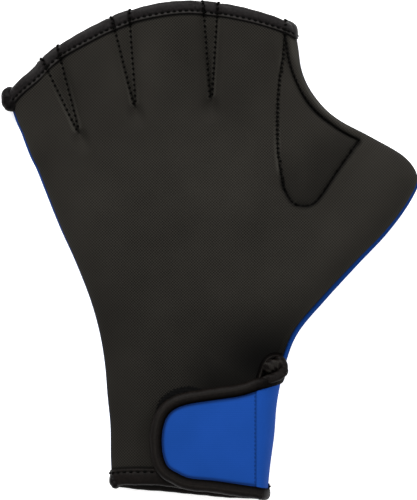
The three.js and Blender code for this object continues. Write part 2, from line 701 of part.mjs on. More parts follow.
const PIECES = [
  { name: "palm_panel", geometry: palmGeometry, finish: blackCloth },
  { name: "thumb_gusset", geometry: gussetGeometry, finish: blackCloth },
  { name: "back_panel", geometry: backGeometry, finish: blueCloth },
  { name: "wrist_strap", geometry: strapGeometry, finish: blueCloth },
  { name: "hook_patch", geometry: hookGeometry, finish: blackHook },
  { name: "finger_binding_palm", geometry: bindingSolid(fingerPalmFrames, FINGER_BINDING), finish: blackTape },
  { name: "finger_binding_back", geometry: bindingSolid(fingerBackFrames, FINGER_BINDING), finish: blackTape },
  { name: "cuff_binding_palm", geometry: bindingSolid(cuffPalmFrames, CUFF_BINDING), finish: blackTape },
  { name: "cuff_binding_back", geometry: bindingSolid(cuffBackFrames, CUFF_BINDING), finish: blackTape },
  { name: "slit_binding", geometry: bindingSolid(slitFrames, STRAP_BINDING), finish: blackTape },
  { name: "strap_binding", geometry: bindingSolid(strapFrames, STRAP_BINDING), finish: blackTape },
];

const glove = new THREE.Group();
for (const { name, geometry, finish } of PIECES) {
  geometry.computeVertexNormals();
  const mesh = new THREE.Mesh(geometry, new THREE.MeshStandardMaterial(finish));
  mesh.name = name;
  glove.add(mesh);
}

// The origin is on the ground under the middle of the whole glove.
const box = new THREE.Box3().setFromObject(glove);
const middle = box.getCenter(new THREE.Vector3());
glove.position.set(-middle.x, -middle.y, -box.min.z);

const part = new THREE.Group();
part.add(glove);

export default part;
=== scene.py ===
"""Looks of a webbed swim glove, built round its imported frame.

The glove lies on its blue back with the black palm up. Sizes are in millimetres from the
middle of the glove, +X to the thumb and +Y to the fingers, until a piece is made in metres.
"""

import logging
import math
from collections.abc import Sequence
from dataclasses import dataclass, field
from enum import Enum

import bpy
import numpy as np
from bpy.types import Material, Mesh, Node, NodeSocket, NodeTree, Object
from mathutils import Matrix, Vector
from mathutils.bvhtree import BVHTree


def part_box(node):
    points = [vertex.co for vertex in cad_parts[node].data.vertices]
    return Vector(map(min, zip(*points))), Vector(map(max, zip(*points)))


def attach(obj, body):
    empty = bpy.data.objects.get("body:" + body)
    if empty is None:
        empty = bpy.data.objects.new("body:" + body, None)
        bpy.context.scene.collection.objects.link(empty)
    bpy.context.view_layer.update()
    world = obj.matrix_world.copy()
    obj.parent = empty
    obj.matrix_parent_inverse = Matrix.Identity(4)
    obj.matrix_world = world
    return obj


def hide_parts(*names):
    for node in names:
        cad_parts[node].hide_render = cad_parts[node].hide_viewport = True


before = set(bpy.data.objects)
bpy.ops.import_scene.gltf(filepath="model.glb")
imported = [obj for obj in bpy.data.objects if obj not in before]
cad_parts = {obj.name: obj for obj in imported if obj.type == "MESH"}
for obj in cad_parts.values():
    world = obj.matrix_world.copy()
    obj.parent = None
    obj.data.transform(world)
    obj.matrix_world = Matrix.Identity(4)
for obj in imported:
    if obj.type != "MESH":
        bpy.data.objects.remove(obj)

logging.basicConfig(level=logging.INFO, format="%(message)s")
LOG = logging.getLogger("glove")

Array = np.ndarray
MM = 0.001
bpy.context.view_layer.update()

# Outlines in shares of the glove's width across and of its length along, from the middle.
# Columns: station, left across, left along, right across, right along.
SIDES = np.array(
    [
        (0.0, -0.231, -0.468, 0.14, -0.494),
        (0.08, -0.234, -0.41, 0.1465, -0.436),
        (0.16, -0.235, -0.35, 0.157, -0.37),
        (0.24, -0.242, -0.29, 0.1645, -0.3),
        (0.3, -0.2485, -0.226, 0.183, -0.23),
        (0.36, -0.261, -0.164, 0.2135, -0.166),
        (0.43, -0.284, -0.096, 0.279, -0.1),
        (0.5, -0.32, -0.02, 0.356, -0.03),
        (0.57, -0.356, 0.046, 0.4305, 0.036),
        (0.64, -0.392, 0.12, 0.487, 0.102),
        (0.69, -0.412, 0.162, 0.5045, 0.1465),
        (0.73, -0.426, 0.185, 0.4725, 0.185),
        (0.79, -0.438, 0.21, 0.3845, 0.2285),
        (0.825, -0.443, 0.2215, 0.3185, 0.2575),
        (0.86, -0.448, 0.233, 0.2765, 0.2855),
        (0.895, -0.4548, 0.2455, 0.2415, 0.324),
        (0.93, -0.4615, 0.258, 0.2225, 0.362),
        (0.965, -0.4705, 0.28, 0.2152, 0.403),
        (1.0, -0.483, 0.306, 0.207, 0.444),
    ]
)
# The palm sheet's free edge, from the side seam round the end of the wrist slit and down to the cuff.
SLIT_EDGE = (
    (0.198, -0.2245), (0.1835, -0.2212), (0.1745, -0.216), (0.1645, -0.2137), (0.154, -0.214),
    (0.1435, -0.2195), (0.135, -0.2295), (0.1297, -0.2425), (0.1225, -0.262), (0.112, -0.292),
    (0.1, -0.36), (0.097, -0.42), (0.096, -0.5), (0.096, -0.56),
)
# How far an edge rises over the chord between its corners: share of the chord, rise.
FINGER_EDGE = np.array(
    [
        (0.0, 0.0), (0.01, 0.0072), (0.0275, 0.016), (0.05, 0.0248), (0.075, 0.0332),
        (0.1, 0.0432), (0.116, 0.0532), (0.15, 0.0656), (0.184, 0.0747), (0.289, 0.0938),
        (0.393, 0.108), (0.497, 0.1098), (0.602, 0.1036), (0.706, 0.0872), (0.81, 0.0626),
        (0.88, 0.0428), (0.95, 0.0194), (1.0, 0.0),
    ]
)
PALM_CUFF_EDGE = np.array(
    [
        (0.0, 0.0), (0.1, 0.006), (0.27, 0.0105), (0.4, 0.0095), (0.6, 0.006), (1.0, 0.0),
    ]
)
BACK_CUFF_EDGE = np.array(
    [
        (0.0, -0.001), (0.14, -0.0036), (0.42, -0.0038), (0.68, -0.0052), (0.9, -0.0034),
        (1.0, -0.0012),
    ]
)
# Stitched webs: root, left end and right end (across, along), then share and spread at the cuff.
WEBS = (
    ((-0.314, 0.242), (-0.399, 0.378), (-0.361, 0.407), 0.25, 0.02),
    ((-0.177, 0.293), (-0.234, 0.464), (-0.189, 0.483), 0.45, 0.02),
    ((0.006, 0.307), (-0.015, 0.496), (0.024, 0.493), 0.68, 0.02),
)
# The gusset's outline in three runs: the dotted palm seam, the round end, the web-edge seam.
GUSSET_PALM_SEAM = (
    (0.182, 0.434), (0.178, 0.388), (0.168, 0.33), (0.164, 0.27), (0.166, 0.19), (0.179, 0.124),
)
GUSSET_THUMB_SEAM = (
    (0.179, 0.124), (0.203, 0.093), (0.232, 0.087), (0.258, 0.096), (0.308, 0.156), (0.362, 0.22),
)
GUSSET_WEB_SEAM = (
    (0.362, 0.22), (0.34, 0.228), (0.305, 0.245), (0.256, 0.277), (0.221, 0.317), (0.194, 0.373),
    (0.182, 0.434),
)
# The strap tab's upper and lower edge, in shares of its length from its seam and of its width up.
STRAP_UPPER = (
    (0.0, 1.0), (0.165, 0.952), (0.4, 0.921), (0.63, 0.889), (0.765, 0.858), (0.88, 0.8),
    (0.96, 0.7), (1.0, 0.554),
)
STRAP_LOWER = (
    (0.0, 0.0), (0.11, 0.013), (0.4, 0.052), (0.685, 0.081), (0.815, 0.135), (0.905, 0.184),
    (0.965, 0.267), (1.0, 0.398),
)
# The hook tape's outline under the tab; only its rounded corner shows beside the strap.
HOOK_OUTLINE = (
    (0.05, -0.3), (-0.005, -0.281), (-0.04, -0.2725), (-0.068, -0.2745), (-0.092, -0.2825),
    (-0.109, -0.293), (-0.121, -0.307), (-0.127, -0.33), (-0.122, -0.38), (-0.085, -0.42),
    (0.05, -0.42),
)


def linear(hex_colour: str) -> tuple[float, float, float, float]:
    """Turns an sRGB hex colour to linear light.

    Args:
        hex_colour: Six hex digits.

    Returns:
        Red, green, blue and an opaque alpha.
    """
    shares = [int(hex_colour[i : i + 2], 16) / 255 for i in (0, 2, 4)]
    light = [s / 12.92 if s <= 0.04045 else ((s + 0.055) / 1.055) ** 2.4 for s in shares]
    return (light[0], light[1], light[2], 1.0)


def add(tree: NodeTree, kind: str, inputs: dict | None = None, **settings: object) -> Node:
    """Adds one node to a tree with its settings, its values and its links.

    Args:
        tree: The tree of a material, the world or a modifier.
        kind: The node's type.
        inputs: Values, or sockets to link from, by input name or number.
        **settings: The node's own properties.

    Returns:
        The new node.
    """
    node = tree.nodes.new(kind)
    for name, value in settings.items():
        setattr(node, name, value)
    for key, value in (inputs or {}).items():
        if isinstance(value, NodeSocket):
            tree.links.new(value, node.inputs[key])
        else:
            node.inputs[key].default_value = value
    return node


def maths(tree: NodeTree, operation: str, *values: object) -> NodeSocket:
    """Adds one Math node and returns its output.

    Args:
        tree: The tree to add to.
        operation: The Math node's operation.
        *values: Numbers or sockets, in order.

    Returns:
        The node's result.
    """
    return add(tree, "ShaderNodeMath", dict(enumerate(values)), operation=operation).outputs[0]


def smooth(value: Array) -> Array:
    """A smooth step from 0 to 1 over the values 0 to 1."""
    held = np.clip(value, 0, 1)
    return held * held * (3 - 2 * held)


def blend(start: Array, end: Array, share: Array) -> Array:
    """A value between start and end."""
    return start + (end - start) * share


def roll(share: Array) -> Array:
    """Height of a rolled edge, a quarter of an ellipse: 0 at the seam, 1 one roll further in."""
    return np.sqrt(np.clip(1 - (1 - np.clip(share, 0, 1)) ** 2, 0, 1))


def bell(distance: Array, width: Array | float) -> Array:
    """A soft bump: 1 at a distance of 0, fading over a width."""
    return np.exp(-((distance / width) ** 2))


def unit(vectors: Array) -> Array:
    """Vectors of length 1 in the same directions."""
    return vectors / np.maximum(np.linalg.norm(vectors, axis=-1, keepdims=True), 1e-9)


def through(table: Array, at: Array) -> Array:
    """Reads a table's columns on a smooth curve through its rows.

    Args:
        table: Rows of a station and one or more values.
        at: Stations to read at.

    Returns:
        The values at each station, one column fewer than the table.
    """
    stations, values = table[:, 0], table[:, 1:]
    order = np.arange(len(stations))
    before = np.maximum(order - 1, 0)
    after = np.minimum(order + 1, len(stations) - 1)
    slopes = (values[after] - values[before]) / (stations[after] - stations[before])[:, None]
    at = np.asarray(at, float)
    row = np.searchsorted(stations[1:-1], at, side="left")
    span = (stations[row + 1] - stations[row])[..., None]
    u = np.clip((at[..., None] - stations[row][..., None]) / span, 0, 1)
    tangents = slopes[row] * (1 - u) - slopes[row + 1] * u
    return (
        values[row] * (1 + 2 * u) * (1 - u) ** 2
        + values[row + 1] * u * u * (3 - 2 * u)
        + span * u * (1 - u) * tangents
    )


def run_of(line: Array) -> Array:
    """How far along a polyline each of its points lies."""
    return np.concatenate([[0], np.cumsum(np.linalg.norm(np.diff(line, axis=0), axis=1))])


def cells(numbers: Array) -> Array:
    """The four corners of every cell of a grid, in order round it."""
    return np.stack([numbers[:-1, :-1], numbers[:-1, 1:], numbers[1:, 1:], numbers[1:, :-1]], axis=-1)


def smooth_path(points: Sequence[Sequence[float]], spacing: float) -> Array:
    """A smooth open curve through points, sampled evenly.

    Args:
        points: The points it goes through.
        spacing: Distance between samples.

    Returns:
        The samples, one row each.
    """
    knots = np.asarray(points, float)
    steps = run_of(knots)
    dense = through(np.column_stack([steps, knots]), np.linspace(0, steps[-1], 12 * len(knots)))
    return evenly(dense, spacing)


def evenly(points: Array, spacing: float) -> Array:
    """Points at an even spacing along a polyline, its ends kept.

    Args:
        points: The polyline, whose first three columns or fewer are its place.
        spacing: Distance between the new points.

    Returns:
        The new points, with every column interpolated.
    """
    steps = run_of(points[:, :3])
    count = max(2, int(round(steps[-1] / spacing)) + 1)
    wanted = np.linspace(0, steps[-1], count)
    return np.column_stack([np.interp(wanted, steps, points[:, k]) for k in range(points.shape[1])])


def aside(line: Array, distance: float) -> Array:
    """A plan line moved to its left by a distance."""
    tangent = unit(np.gradient(line, axis=0))
    return line + np.column_stack([-tangent[:, 1], tangent[:, 0]]) * distance


def distance_to_line(points: Array, line: Array) -> tuple[Array, Array]:
    """Distance from points to a polyline in plan, and how far along it the nearest place is.

    Args:
        points: Plan points, one row each.
        line: The polyline's plan points.

    Returns:
        The distances, and the nearest places as shares of the polyline's points.
    """
    nearest = np.full(len(points), np.inf)
    place = np.zeros(len(points))
    for i in range(len(line) - 1):
        along = line[i + 1] - line[i]
        share = np.clip((points - line[i]) @ along / max(along @ along, 1e-12), 0, 1)
        reach = np.linalg.norm(points - line[i] - share[:, None] * along, axis=1)
        closer = reach < nearest
        nearest = np.where(closer, reach, nearest)
        place = np.where(closer, (i + share) / (len(line) - 1), place)
    return nearest, place


def is_inside(points: Array, outline: Array) -> Array:
    """Finds which plan points lie inside a closed outline.

    Args:
        points: Plan points, one row each.
        outline: The outline's points in order.

    Returns:
        True for each point inside.
    """
    inside = np.zeros(len(points), bool)
    x, y = points[:, 0], points[:, 1]
    for a, b in zip(outline, np.roll(outline, -1, axis=0)):
        crosses = (a[1] > y) != (b[1] > y)
        rise = b[1] - a[1] if b[1] != a[1] else 1e-12
        inside ^= crosses & (x < (b[0] - a[0]) * (y - a[1]) / rise + a[0])
    return inside


class Face(Enum):
    """Which way a sheet looks."""

    PALM = 1
    BACK = -1


@dataclass(frozen=True)
class Pattern:
    """The glove's named sizes, and the curves that its pieces share."""

    width: float = 200.0
    length: float = 240.0
    sheet: float = 2.2
    tape: float = 1.0
    tape_gap: float = 0.3
    seam_gap: float = 0.3
    ground_gap: float = 0.1
    cuff_hollow: float = 8.0
    palm_hollow: float = 11.0
    finger_hollow: float = 9.0
    finger_binding: float = 5.2
    cuff_binding: float = 6.6
    strap_binding: float = 4.6
    palm_roll: float = 14.0
    back_roll: float = 10.0
    web_roll: float = 7.0
    web_fade: float = 14.0
    seam_height: float = 6.9
    web_edge_seam_height: float = 6.4
    left_seam_step: float = 0.8
    thumb_seam_step: float = 0.98
    wrist_seam_step: float = 2.25
    web_edge_step: float = 1.2
    strap_length: float = 49.5
    strap_width: float = 55.0
    strap_seam_across: float = 0.114
    strap_seam_lower: float = -0.49
    slit_station: float = 0.285
    slit_end: float = 0.31
    strap_seam_gap: float = 0.05
    strap_seam_dip: float = 0.16
    strap_seam_roll: float = 1.3
    proud: float = 0.25
    row_gap: float = 1.8
    row_short: float = 1.1
    row_past: float = 5.0

    @property
    def lift(self) -> float:
        """How far the binding lifts the sheet that it holds."""
        return self.tape_gap + self.tape + self.ground_gap

    @property
    def cuff_top(self) -> float:
        """Top of the palm sheet at the cuff."""
        return self.lift + 2 * self.sheet + self.cuff_hollow

    @property
    def strap_bottom(self) -> float:
        """Underside of the strap."""
        stack = self.tape_gap + self.tape
        return self.cuff_top + self.seam_gap + stack + stack

    @property
    def strap_top(self) -> float:
        """Top of the strap."""
        return self.strap_bottom + self.sheet

    @property
    def strap_seam_foot(self) -> Array:
        """The lower end of the strap's seam."""
        return self.point(self.strap_seam_across, self.strap_seam_lower)

    def point(self, across: float, along: float) -> Array:
        """A plan point from shares of the width and length."""
        return np.array([across * self.width, along * self.length])

    def points(self, shares: Sequence[Sequence[float]]) -> Array:
        """Plan points from rows of shares."""
        return np.asarray(shares, float) * [self.width, self.length]

    def places(self, rows: Sequence[Sequence[float]]) -> Array:
        """Points from rows of a share of the width, a share of the length and a height."""
        return np.asarray(rows, float) * [self.width, self.length, 1.0]

    def path(self, shares: Sequence[Sequence[float]], spacing: float) -> Array:
        """A smooth plan line through rows of shares."""
        return smooth_path(self.points(shares), spacing)

    def side(self, right: bool, at: Array) -> Array:
        """Points of the glove's left or right outline.

        Args:
            right: Whether it is the thumb side.
            at: Stations, 0 at the cuff and 1 at the finger edge.

        Returns:
            Plan points.
        """
        columns = [0, 3, 4] if right else [0, 1, 2]
        return through(SIDES[:, columns], at) * [self.width, self.length]

    def inset(self, right: bool, at: Array, distance: Array) -> Array:
        """Outline points moved into the glove.

        Args:
            right: Whether it is the thumb side.
            at: Stations.
            distance: How far they move, square to the outline.

        Returns:
            Plan points.
        """
        ahead = self.side(right, np.minimum(1, at + 0.01))
        behind = self.side(right, np.maximum(0, at - 0.01))
        tangent = unit(ahead - behind)
        inwards = np.stack([tangent[..., 1], -tangent[..., 0]], axis=-1) * (-1 if right else 1)
        return self.side(right, at) + inwards * np.asarray(distance)[..., None]

    def on_web_edge(self, at: Array) -> Array:
        """1 on the edge between index finger and thumb, 0 below the thumb's tip."""
        return smooth((at - 0.66) / 0.08)

    def edge(self, face: Face, right: bool, at: Array) -> Array:
        """Points of one sheet's side edge.

        Args:
            face: Which sheet.
            right: Whether it is the thumb side.
            at: Stations.

        Returns:
            Plan points.
        """
        at = np.asarray(at, float)
        if not right:
            step = blend(0.15, self.left_seam_step, smooth((at - 0.42) / 0.27)) * (face is Face.PALM)
            return self.inset(False, at, step - self.proud)
        if face is Face.BACK:
            return self.inset(True, at, self.web_edge_step * self.on_web_edge(at) - self.proud)
        step = blend(self.wrist_seam_step, self.thumb_seam_step, smooth((at - 0.37) / 0.34))
        return self.inset(True, at, step * (1 - self.on_web_edge(at)) - self.proud)

    def outward(self, face: Face, right: bool, at: Array) -> Array:
        """Level directions out of a sheet's side edge.

        Args:
            face: Which sheet.
            right: Whether it is the thumb side.
            at: Stations.

        Returns:
            Directions of length 1 with a height of 0.
        """
        ahead = self.edge(face, right, np.minimum(1, at + 0.006))
        behind = self.edge(face, right, np.maximum(0, at - 0.006))
        tangent = unit(ahead - behind) * (1 if right else -1)
        return np.stack([tangent[..., 1], -tangent[..., 0], np.zeros(len(tangent))], axis=-1)

    def place(self, face: Face, share: Array, at: Array) -> Array:
        """Plan points of a sheet that is stretched between its four edges.

        Args:
            face: Which sheet.
            share: 0 at the left edge to 1 at the right edge.
            at: Stations.

        Returns:
            Plan points.
        """
        cuff_edge = PALM_CUFF_EDGE if face is Face.PALM else BACK_CUFF_EDGE
        cuff_rise = through(cuff_edge, share)[..., 0] * (1 - at)
        finger_rise = through(FINGER_EDGE, share)[..., 0] * at**3
        found = blend(self.edge(face, False, at), self.edge(face, True, at), share[..., None])
        found[..., 1] += (cuff_rise + finger_rise) * self.length
        return found

    def palm_top(self, at: Array) -> Array:
        """Height of the palm sheet's face where nothing holds it down.

        Args:
            at: Stations.

        Returns:
            The heights.
        """
        palm = 2 * self.sheet + self.palm_hollow
        fingers = self.lift + 2 * self.sheet + self.finger_hollow
        wrist = blend(self.cuff_top, palm, smooth((at - 0.3) / 0.2))
        return blend(wrist, fingers, smooth((at - 0.6) / 0.3))


PATTERN = Pattern()


@dataclass(frozen=True)
class Web:
    """One stitched web between two fingers: a narrow V of two seams through both sheets."""

    root: Array
    left: Array
    right: Array
    cuff_share: float
    cuff_spread: float

    @property
    def spine(self) -> Array:
        """From the root to the middle of the open end."""
        return (self.left + self.right) / 2 - self.root

    @property
    def up(self) -> Array:
        """The direction of the spine."""
        return unit(self.spine)

    @property
    def half_width(self) -> float:
        """Half the width of the open end."""
        return float(np.linalg.norm(self.left - self.right)) / 2

    def hold(self, points: Array) -> Array:
        """How strongly the web holds the two sheets together.

        Args:
            points: Plan points.

        Returns:
            0 where it doesn't reach, to 1 between its seams.
        """
        offset = points - self.root
        upward = offset @ self.up
        sideways = np.abs(offset[..., 0] * self.up[1] - offset[..., 1] * self.up[0])
        spread = self.half_width * np.clip(upward / np.linalg.norm(self.spine), 0, 1)
        outside = np.maximum(0, sideways - spread)
        below_root = smooth(-upward / 6)
        blunt = smooth(outside / (0.75 * PATTERN.web_roll))
        wall = blend(roll(outside / PATTERN.web_roll), blunt, below_root)
        held = smooth(1 + np.minimum(0, upward) / PATTERN.web_fade)
        return held * (1 - wall)

    def seam(self, end: Array, past: float = 0.0) -> Array:
        """The plan line of one seam, from its end at the edge to the root.

        Args:
            end: The seam's end at the finger edge.
            past: How far it goes on past that end.

        Returns:
            Two plan points.
        """
        return np.array([end + unit(end - self.root) * past, self.root])

    def stitch_row(self, is_left: bool) -> Array:
        """The plan line of one row of stitches; the two rows stay apart down to the root.

        Args:
            is_left: Whether it is the row on the left of the web.

        Returns:
            Two plan points.
        """
        end, side = (self.left, -1) if is_left else (self.right, 1)
        level = np.array([self.up[1], -self.up[0]]) * side
        short = 0.0 if is_left else PATTERN.row_short
        foot = self.root + level * PATTERN.row_gap / 2 + self.up * short
        return np.array([end + unit(end - foot) * PATTERN.row_past, foot])


WEB_SEAMS = [
    Web(PATTERN.point(*root), PATTERN.point(*left), PATTERN.point(*right), share, spread)
    for root, left, right, share, spread in WEBS
]


@dataclass(frozen=True)
class GussetSeams:
    """The outline of the thumb gusset, in its three seams."""

    palm: Array = field(default_factory=lambda: PATTERN.path(GUSSET_PALM_SEAM, 0.5))
    thumb: Array = field(default_factory=lambda: PATTERN.path(GUSSET_THUMB_SEAM, 0.5))
    web: Array = field(default_factory=lambda: PATTERN.path(GUSSET_WEB_SEAM, 0.5))

    @property
    def outline(self) -> Array:
        """The closed outline."""
        return np.vstack([self.palm[:-1], self.thumb[:-1], self.web[:-1]])

    def outside(self, points: Array) -> Array:
        """Distance from plan points to the outline, negative inside it."""
        distance, _ = distance_to_line(points, np.vstack([self.outline, self.outline[:1]]))
        return np.where(is_inside(points, self.outline), -distance, distance)


GUSSET = GussetSeams()


@dataclass(frozen=True)
class WristSlit:
    """The open slit on the thumb side of the wrist, where the palm sheet is free."""

    line: Array = field(default_factory=lambda: PATTERN.path(SLIT_EDGE, 0.4))

    @property
    def cut_away(self) -> Array:
        """The closed outline of what is missing from the palm on the thumb side of the slit."""
        return np.vstack([self.line, PATTERN.points(((0.4, -0.56), (0.4, -0.2245)))])

    def outside(self, points: Array) -> Array:
        """Distance from plan points to the palm's free edge, negative where the palm is cut away."""
        distance, _ = distance_to_line(points, self.line)
        return np.where(is_inside(points, self.cut_away), -distance, distance)


SLIT = WristSlit()


@dataclass
class Sheet:
    """A sheet of neoprene as two matching surfaces, outer and inner, that share one set of faces."""

    outer: Array
    inner: Array
    plan: Array
    crease: Array
    faces: list[tuple[int, ...]]
    facing: Face

    def cut(self, level: Array) -> "Sheet":
        """Keeps the part where a level is above zero, and cuts the faces it crosses.

        Args:
            level: A value for each point.

        Returns:
            The kept part.
        """
        columns = np.column_stack([self.outer, self.inner, self.plan, self.crease])
        rows: list[Array] = []
        numbers: dict[tuple[int, int], int] = {}

        def number(a: int, b: int) -> int:
            """Numbers a kept point, or the crossing on an edge.

            Args:
                a: A point.
                b: The same point, or the edge's other end.

            Returns:
                The new number.
            """
            key = (min(a, b), max(a, b))
            if key not in numbers:
                share = 0.0 if a == b else level[key[0]] / (level[key[0]] - level[key[1]])
                numbers[key] = len(rows)
                rows.append(blend(columns[key[0]], columns[key[1]], share))
            return numbers[key]

        kept = []
        for face in self.faces:
            ring: list[int] = []
            for a, b in zip(face, face[1:] + face[:1]):
                if level[a] > 0:
                    ring.append(number(a, a))
                if (level[a] > 0) != (level[b] > 0):
                    ring.append(number(a, b))
            if len(ring) > 2:
                kept.append(tuple(ring))
        table = np.array(rows)
        return Sheet(table[:, 0:3], table[:, 3:6], table[:, 6:8], table[:, 8], kept, self.facing)

    def area(self) -> float:
        """Works out the area of the outer face.

        Returns:
            The area, in square metres.
        """
        total = 0.0
        for face in self.faces:
            ways = self.outer[list(face)][1:] - self.outer[face[0]]
            total += float(np.sum(np.linalg.norm(np.cross(ways[:-1], ways[1:]), axis=1))) / 2
        return total * MM * MM

    def piece(self, name: str, cloth: Material, lining: Material) -> Object:
        """Makes the closed mesh: cloth outside and over the edges, lining inside.

        Args:
            name: The new object's name.
            cloth: Finish of the outer face and the edges.
            lining: Finish of the inner face.

        Returns:
            The new object.
        """
        count = len(self.outer)
        forward = self.facing is Face.PALM
        turned = [face if forward else face[::-1] for face in self.faces]
        edges: dict[tuple[int, int], int] = {}
        for face in turned:
            for a, b in zip(face, face[1:] + face[:1]):
                edges[(a, b)] = 1
        walls = [(b, a, a + count, b + count) for a, b in edges if (b, a) not in edges]
        inside = [tuple(i + count for i in face[::-1]) for face in turned]
        points = to_row(np.vstack([self.outer, self.inner]))
        mesh = bpy.data.meshes.new(name)
        mesh.from_pydata(points.tolist(), [], turned + inside + walls)
        mesh.materials.append(cloth)
        mesh.materials.append(lining)
        numbers = np.zeros(len(mesh.polygons), np.int32)
        numbers[len(turned) : 2 * len(turned)] = 1
        mesh.polygons.foreach_set("material_index", numbers)
        mesh.polygons.foreach_set("use_smooth", np.ones(len(mesh.polygons), bool))
        mark(mesh, np.concatenate([self.crease, self.crease * 0]), np.vstack([self.plan, self.plan]))
        return linked(name, mesh)


def wrist_relief(points: Array) -> tuple[Array, Array]:
    """How the palm sheet sinks towards the strap and the end of the wrist slit.

    Args:
        points: Plan points.

    Returns:
        The rise out of the glove, and how deep in shade each point lies.
    """
    notch = PATTERN.point(0.13, -0.225)
    to_notch = np.linalg.norm((points - notch) / [1.25, 1.0], axis=1)
    strap_top = PATTERN.points(((-0.1, -0.29), (0.0, -0.28), (0.06, -0.27), (0.12, -0.25)))
    to_strap, along = distance_to_line(points, strap_top)
    by_strap = smooth(1 - to_strap / 36) * 0.85 * smooth(along * 2.2 + 0.12)
    near = np.maximum(smooth(1 - to_notch / 40), by_strap)
    # Away from the light the palm darkens a little towards the wrist and the fingers.
    broad = 0.18 * smooth((-5 - points[:, 1]) / 35) + 0.13 * smooth((points[:, 1] - 45) / 45)
    return -2.4 * near, np.maximum(0.97 * near, broad)


def mark(mesh: Mesh, crease: Array, flat: Array) -> None:
    """Writes the painted shade attribute and the cloth map that the finishes read.

    Args:
        mesh: The mesh.
        crease: Painted shade at each point, deepest in creases, seams and shadows; below zero it is a
            painted highlight.
        flat: Where each point lies on the unrolled cloth, in millimetres.
    """
    values = mesh.attributes.new("crease", "FLOAT", "POINT")
    values.data.foreach_set("value", crease.astype(np.float32))
    corners = np.zeros(len(mesh.loops), np.int32)
    mesh.loops.foreach_get("vertex_index", corners)
    cloth_map = mesh.uv_layers.new(name="cloth")
    cloth_map.data.foreach_set("uv", (flat * MM)[corners].astype(np.float32).ravel())


def linked(name: str, mesh: Mesh) -> Object:
    """Puts a mesh into the scene as an object at the origin.

    Args:
        name: The object's name.
        mesh: Its mesh.

    Returns:
        The object.
    """
    made = bpy.data.objects.new(name, mesh)
    bpy.context.scene.collection.objects.link(made)
    return made


def to_row(points: Array) -> Array:
    """Turns millimetres from the middle of the glove to metres in the frame of the model."""
    return (points + ROW_OFFSET) * MM


def row_offset() -> Array:
    """Finds where the glove's own middle lies in the frame, from the back sheet's box.

    Returns:
        The middle, in millimetres.
    """
    low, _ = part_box("back_panel")
    corner_left = PATTERN.side(False, np.array([1.0]))[0]
    corner_cuff = PATTERN.side(True, np.array([0.0]))[0]
    return np.array([low.x / MM - corner_left[0], low.y / MM - corner_cuff[1], 0.0])


ROW_OFFSET = row_offset()


def graded(count: int, start: float, end: float) -> Array:
    """Shares from 0 to 1 with a spacing that changes smoothly.

    Args:
        count: How many spaces.
        start: First spacing, as a multiple of the even one.
        end: Last spacing, as a multiple of the even one.

    Returns:
        The shares, without the last one.
    """
    t = np.linspace(0, 1, count + 1)[:-1]
    return start * t * (1 - t) ** 2 + t * t * (3 - 2 * t) - end * t * t * (1 - t)


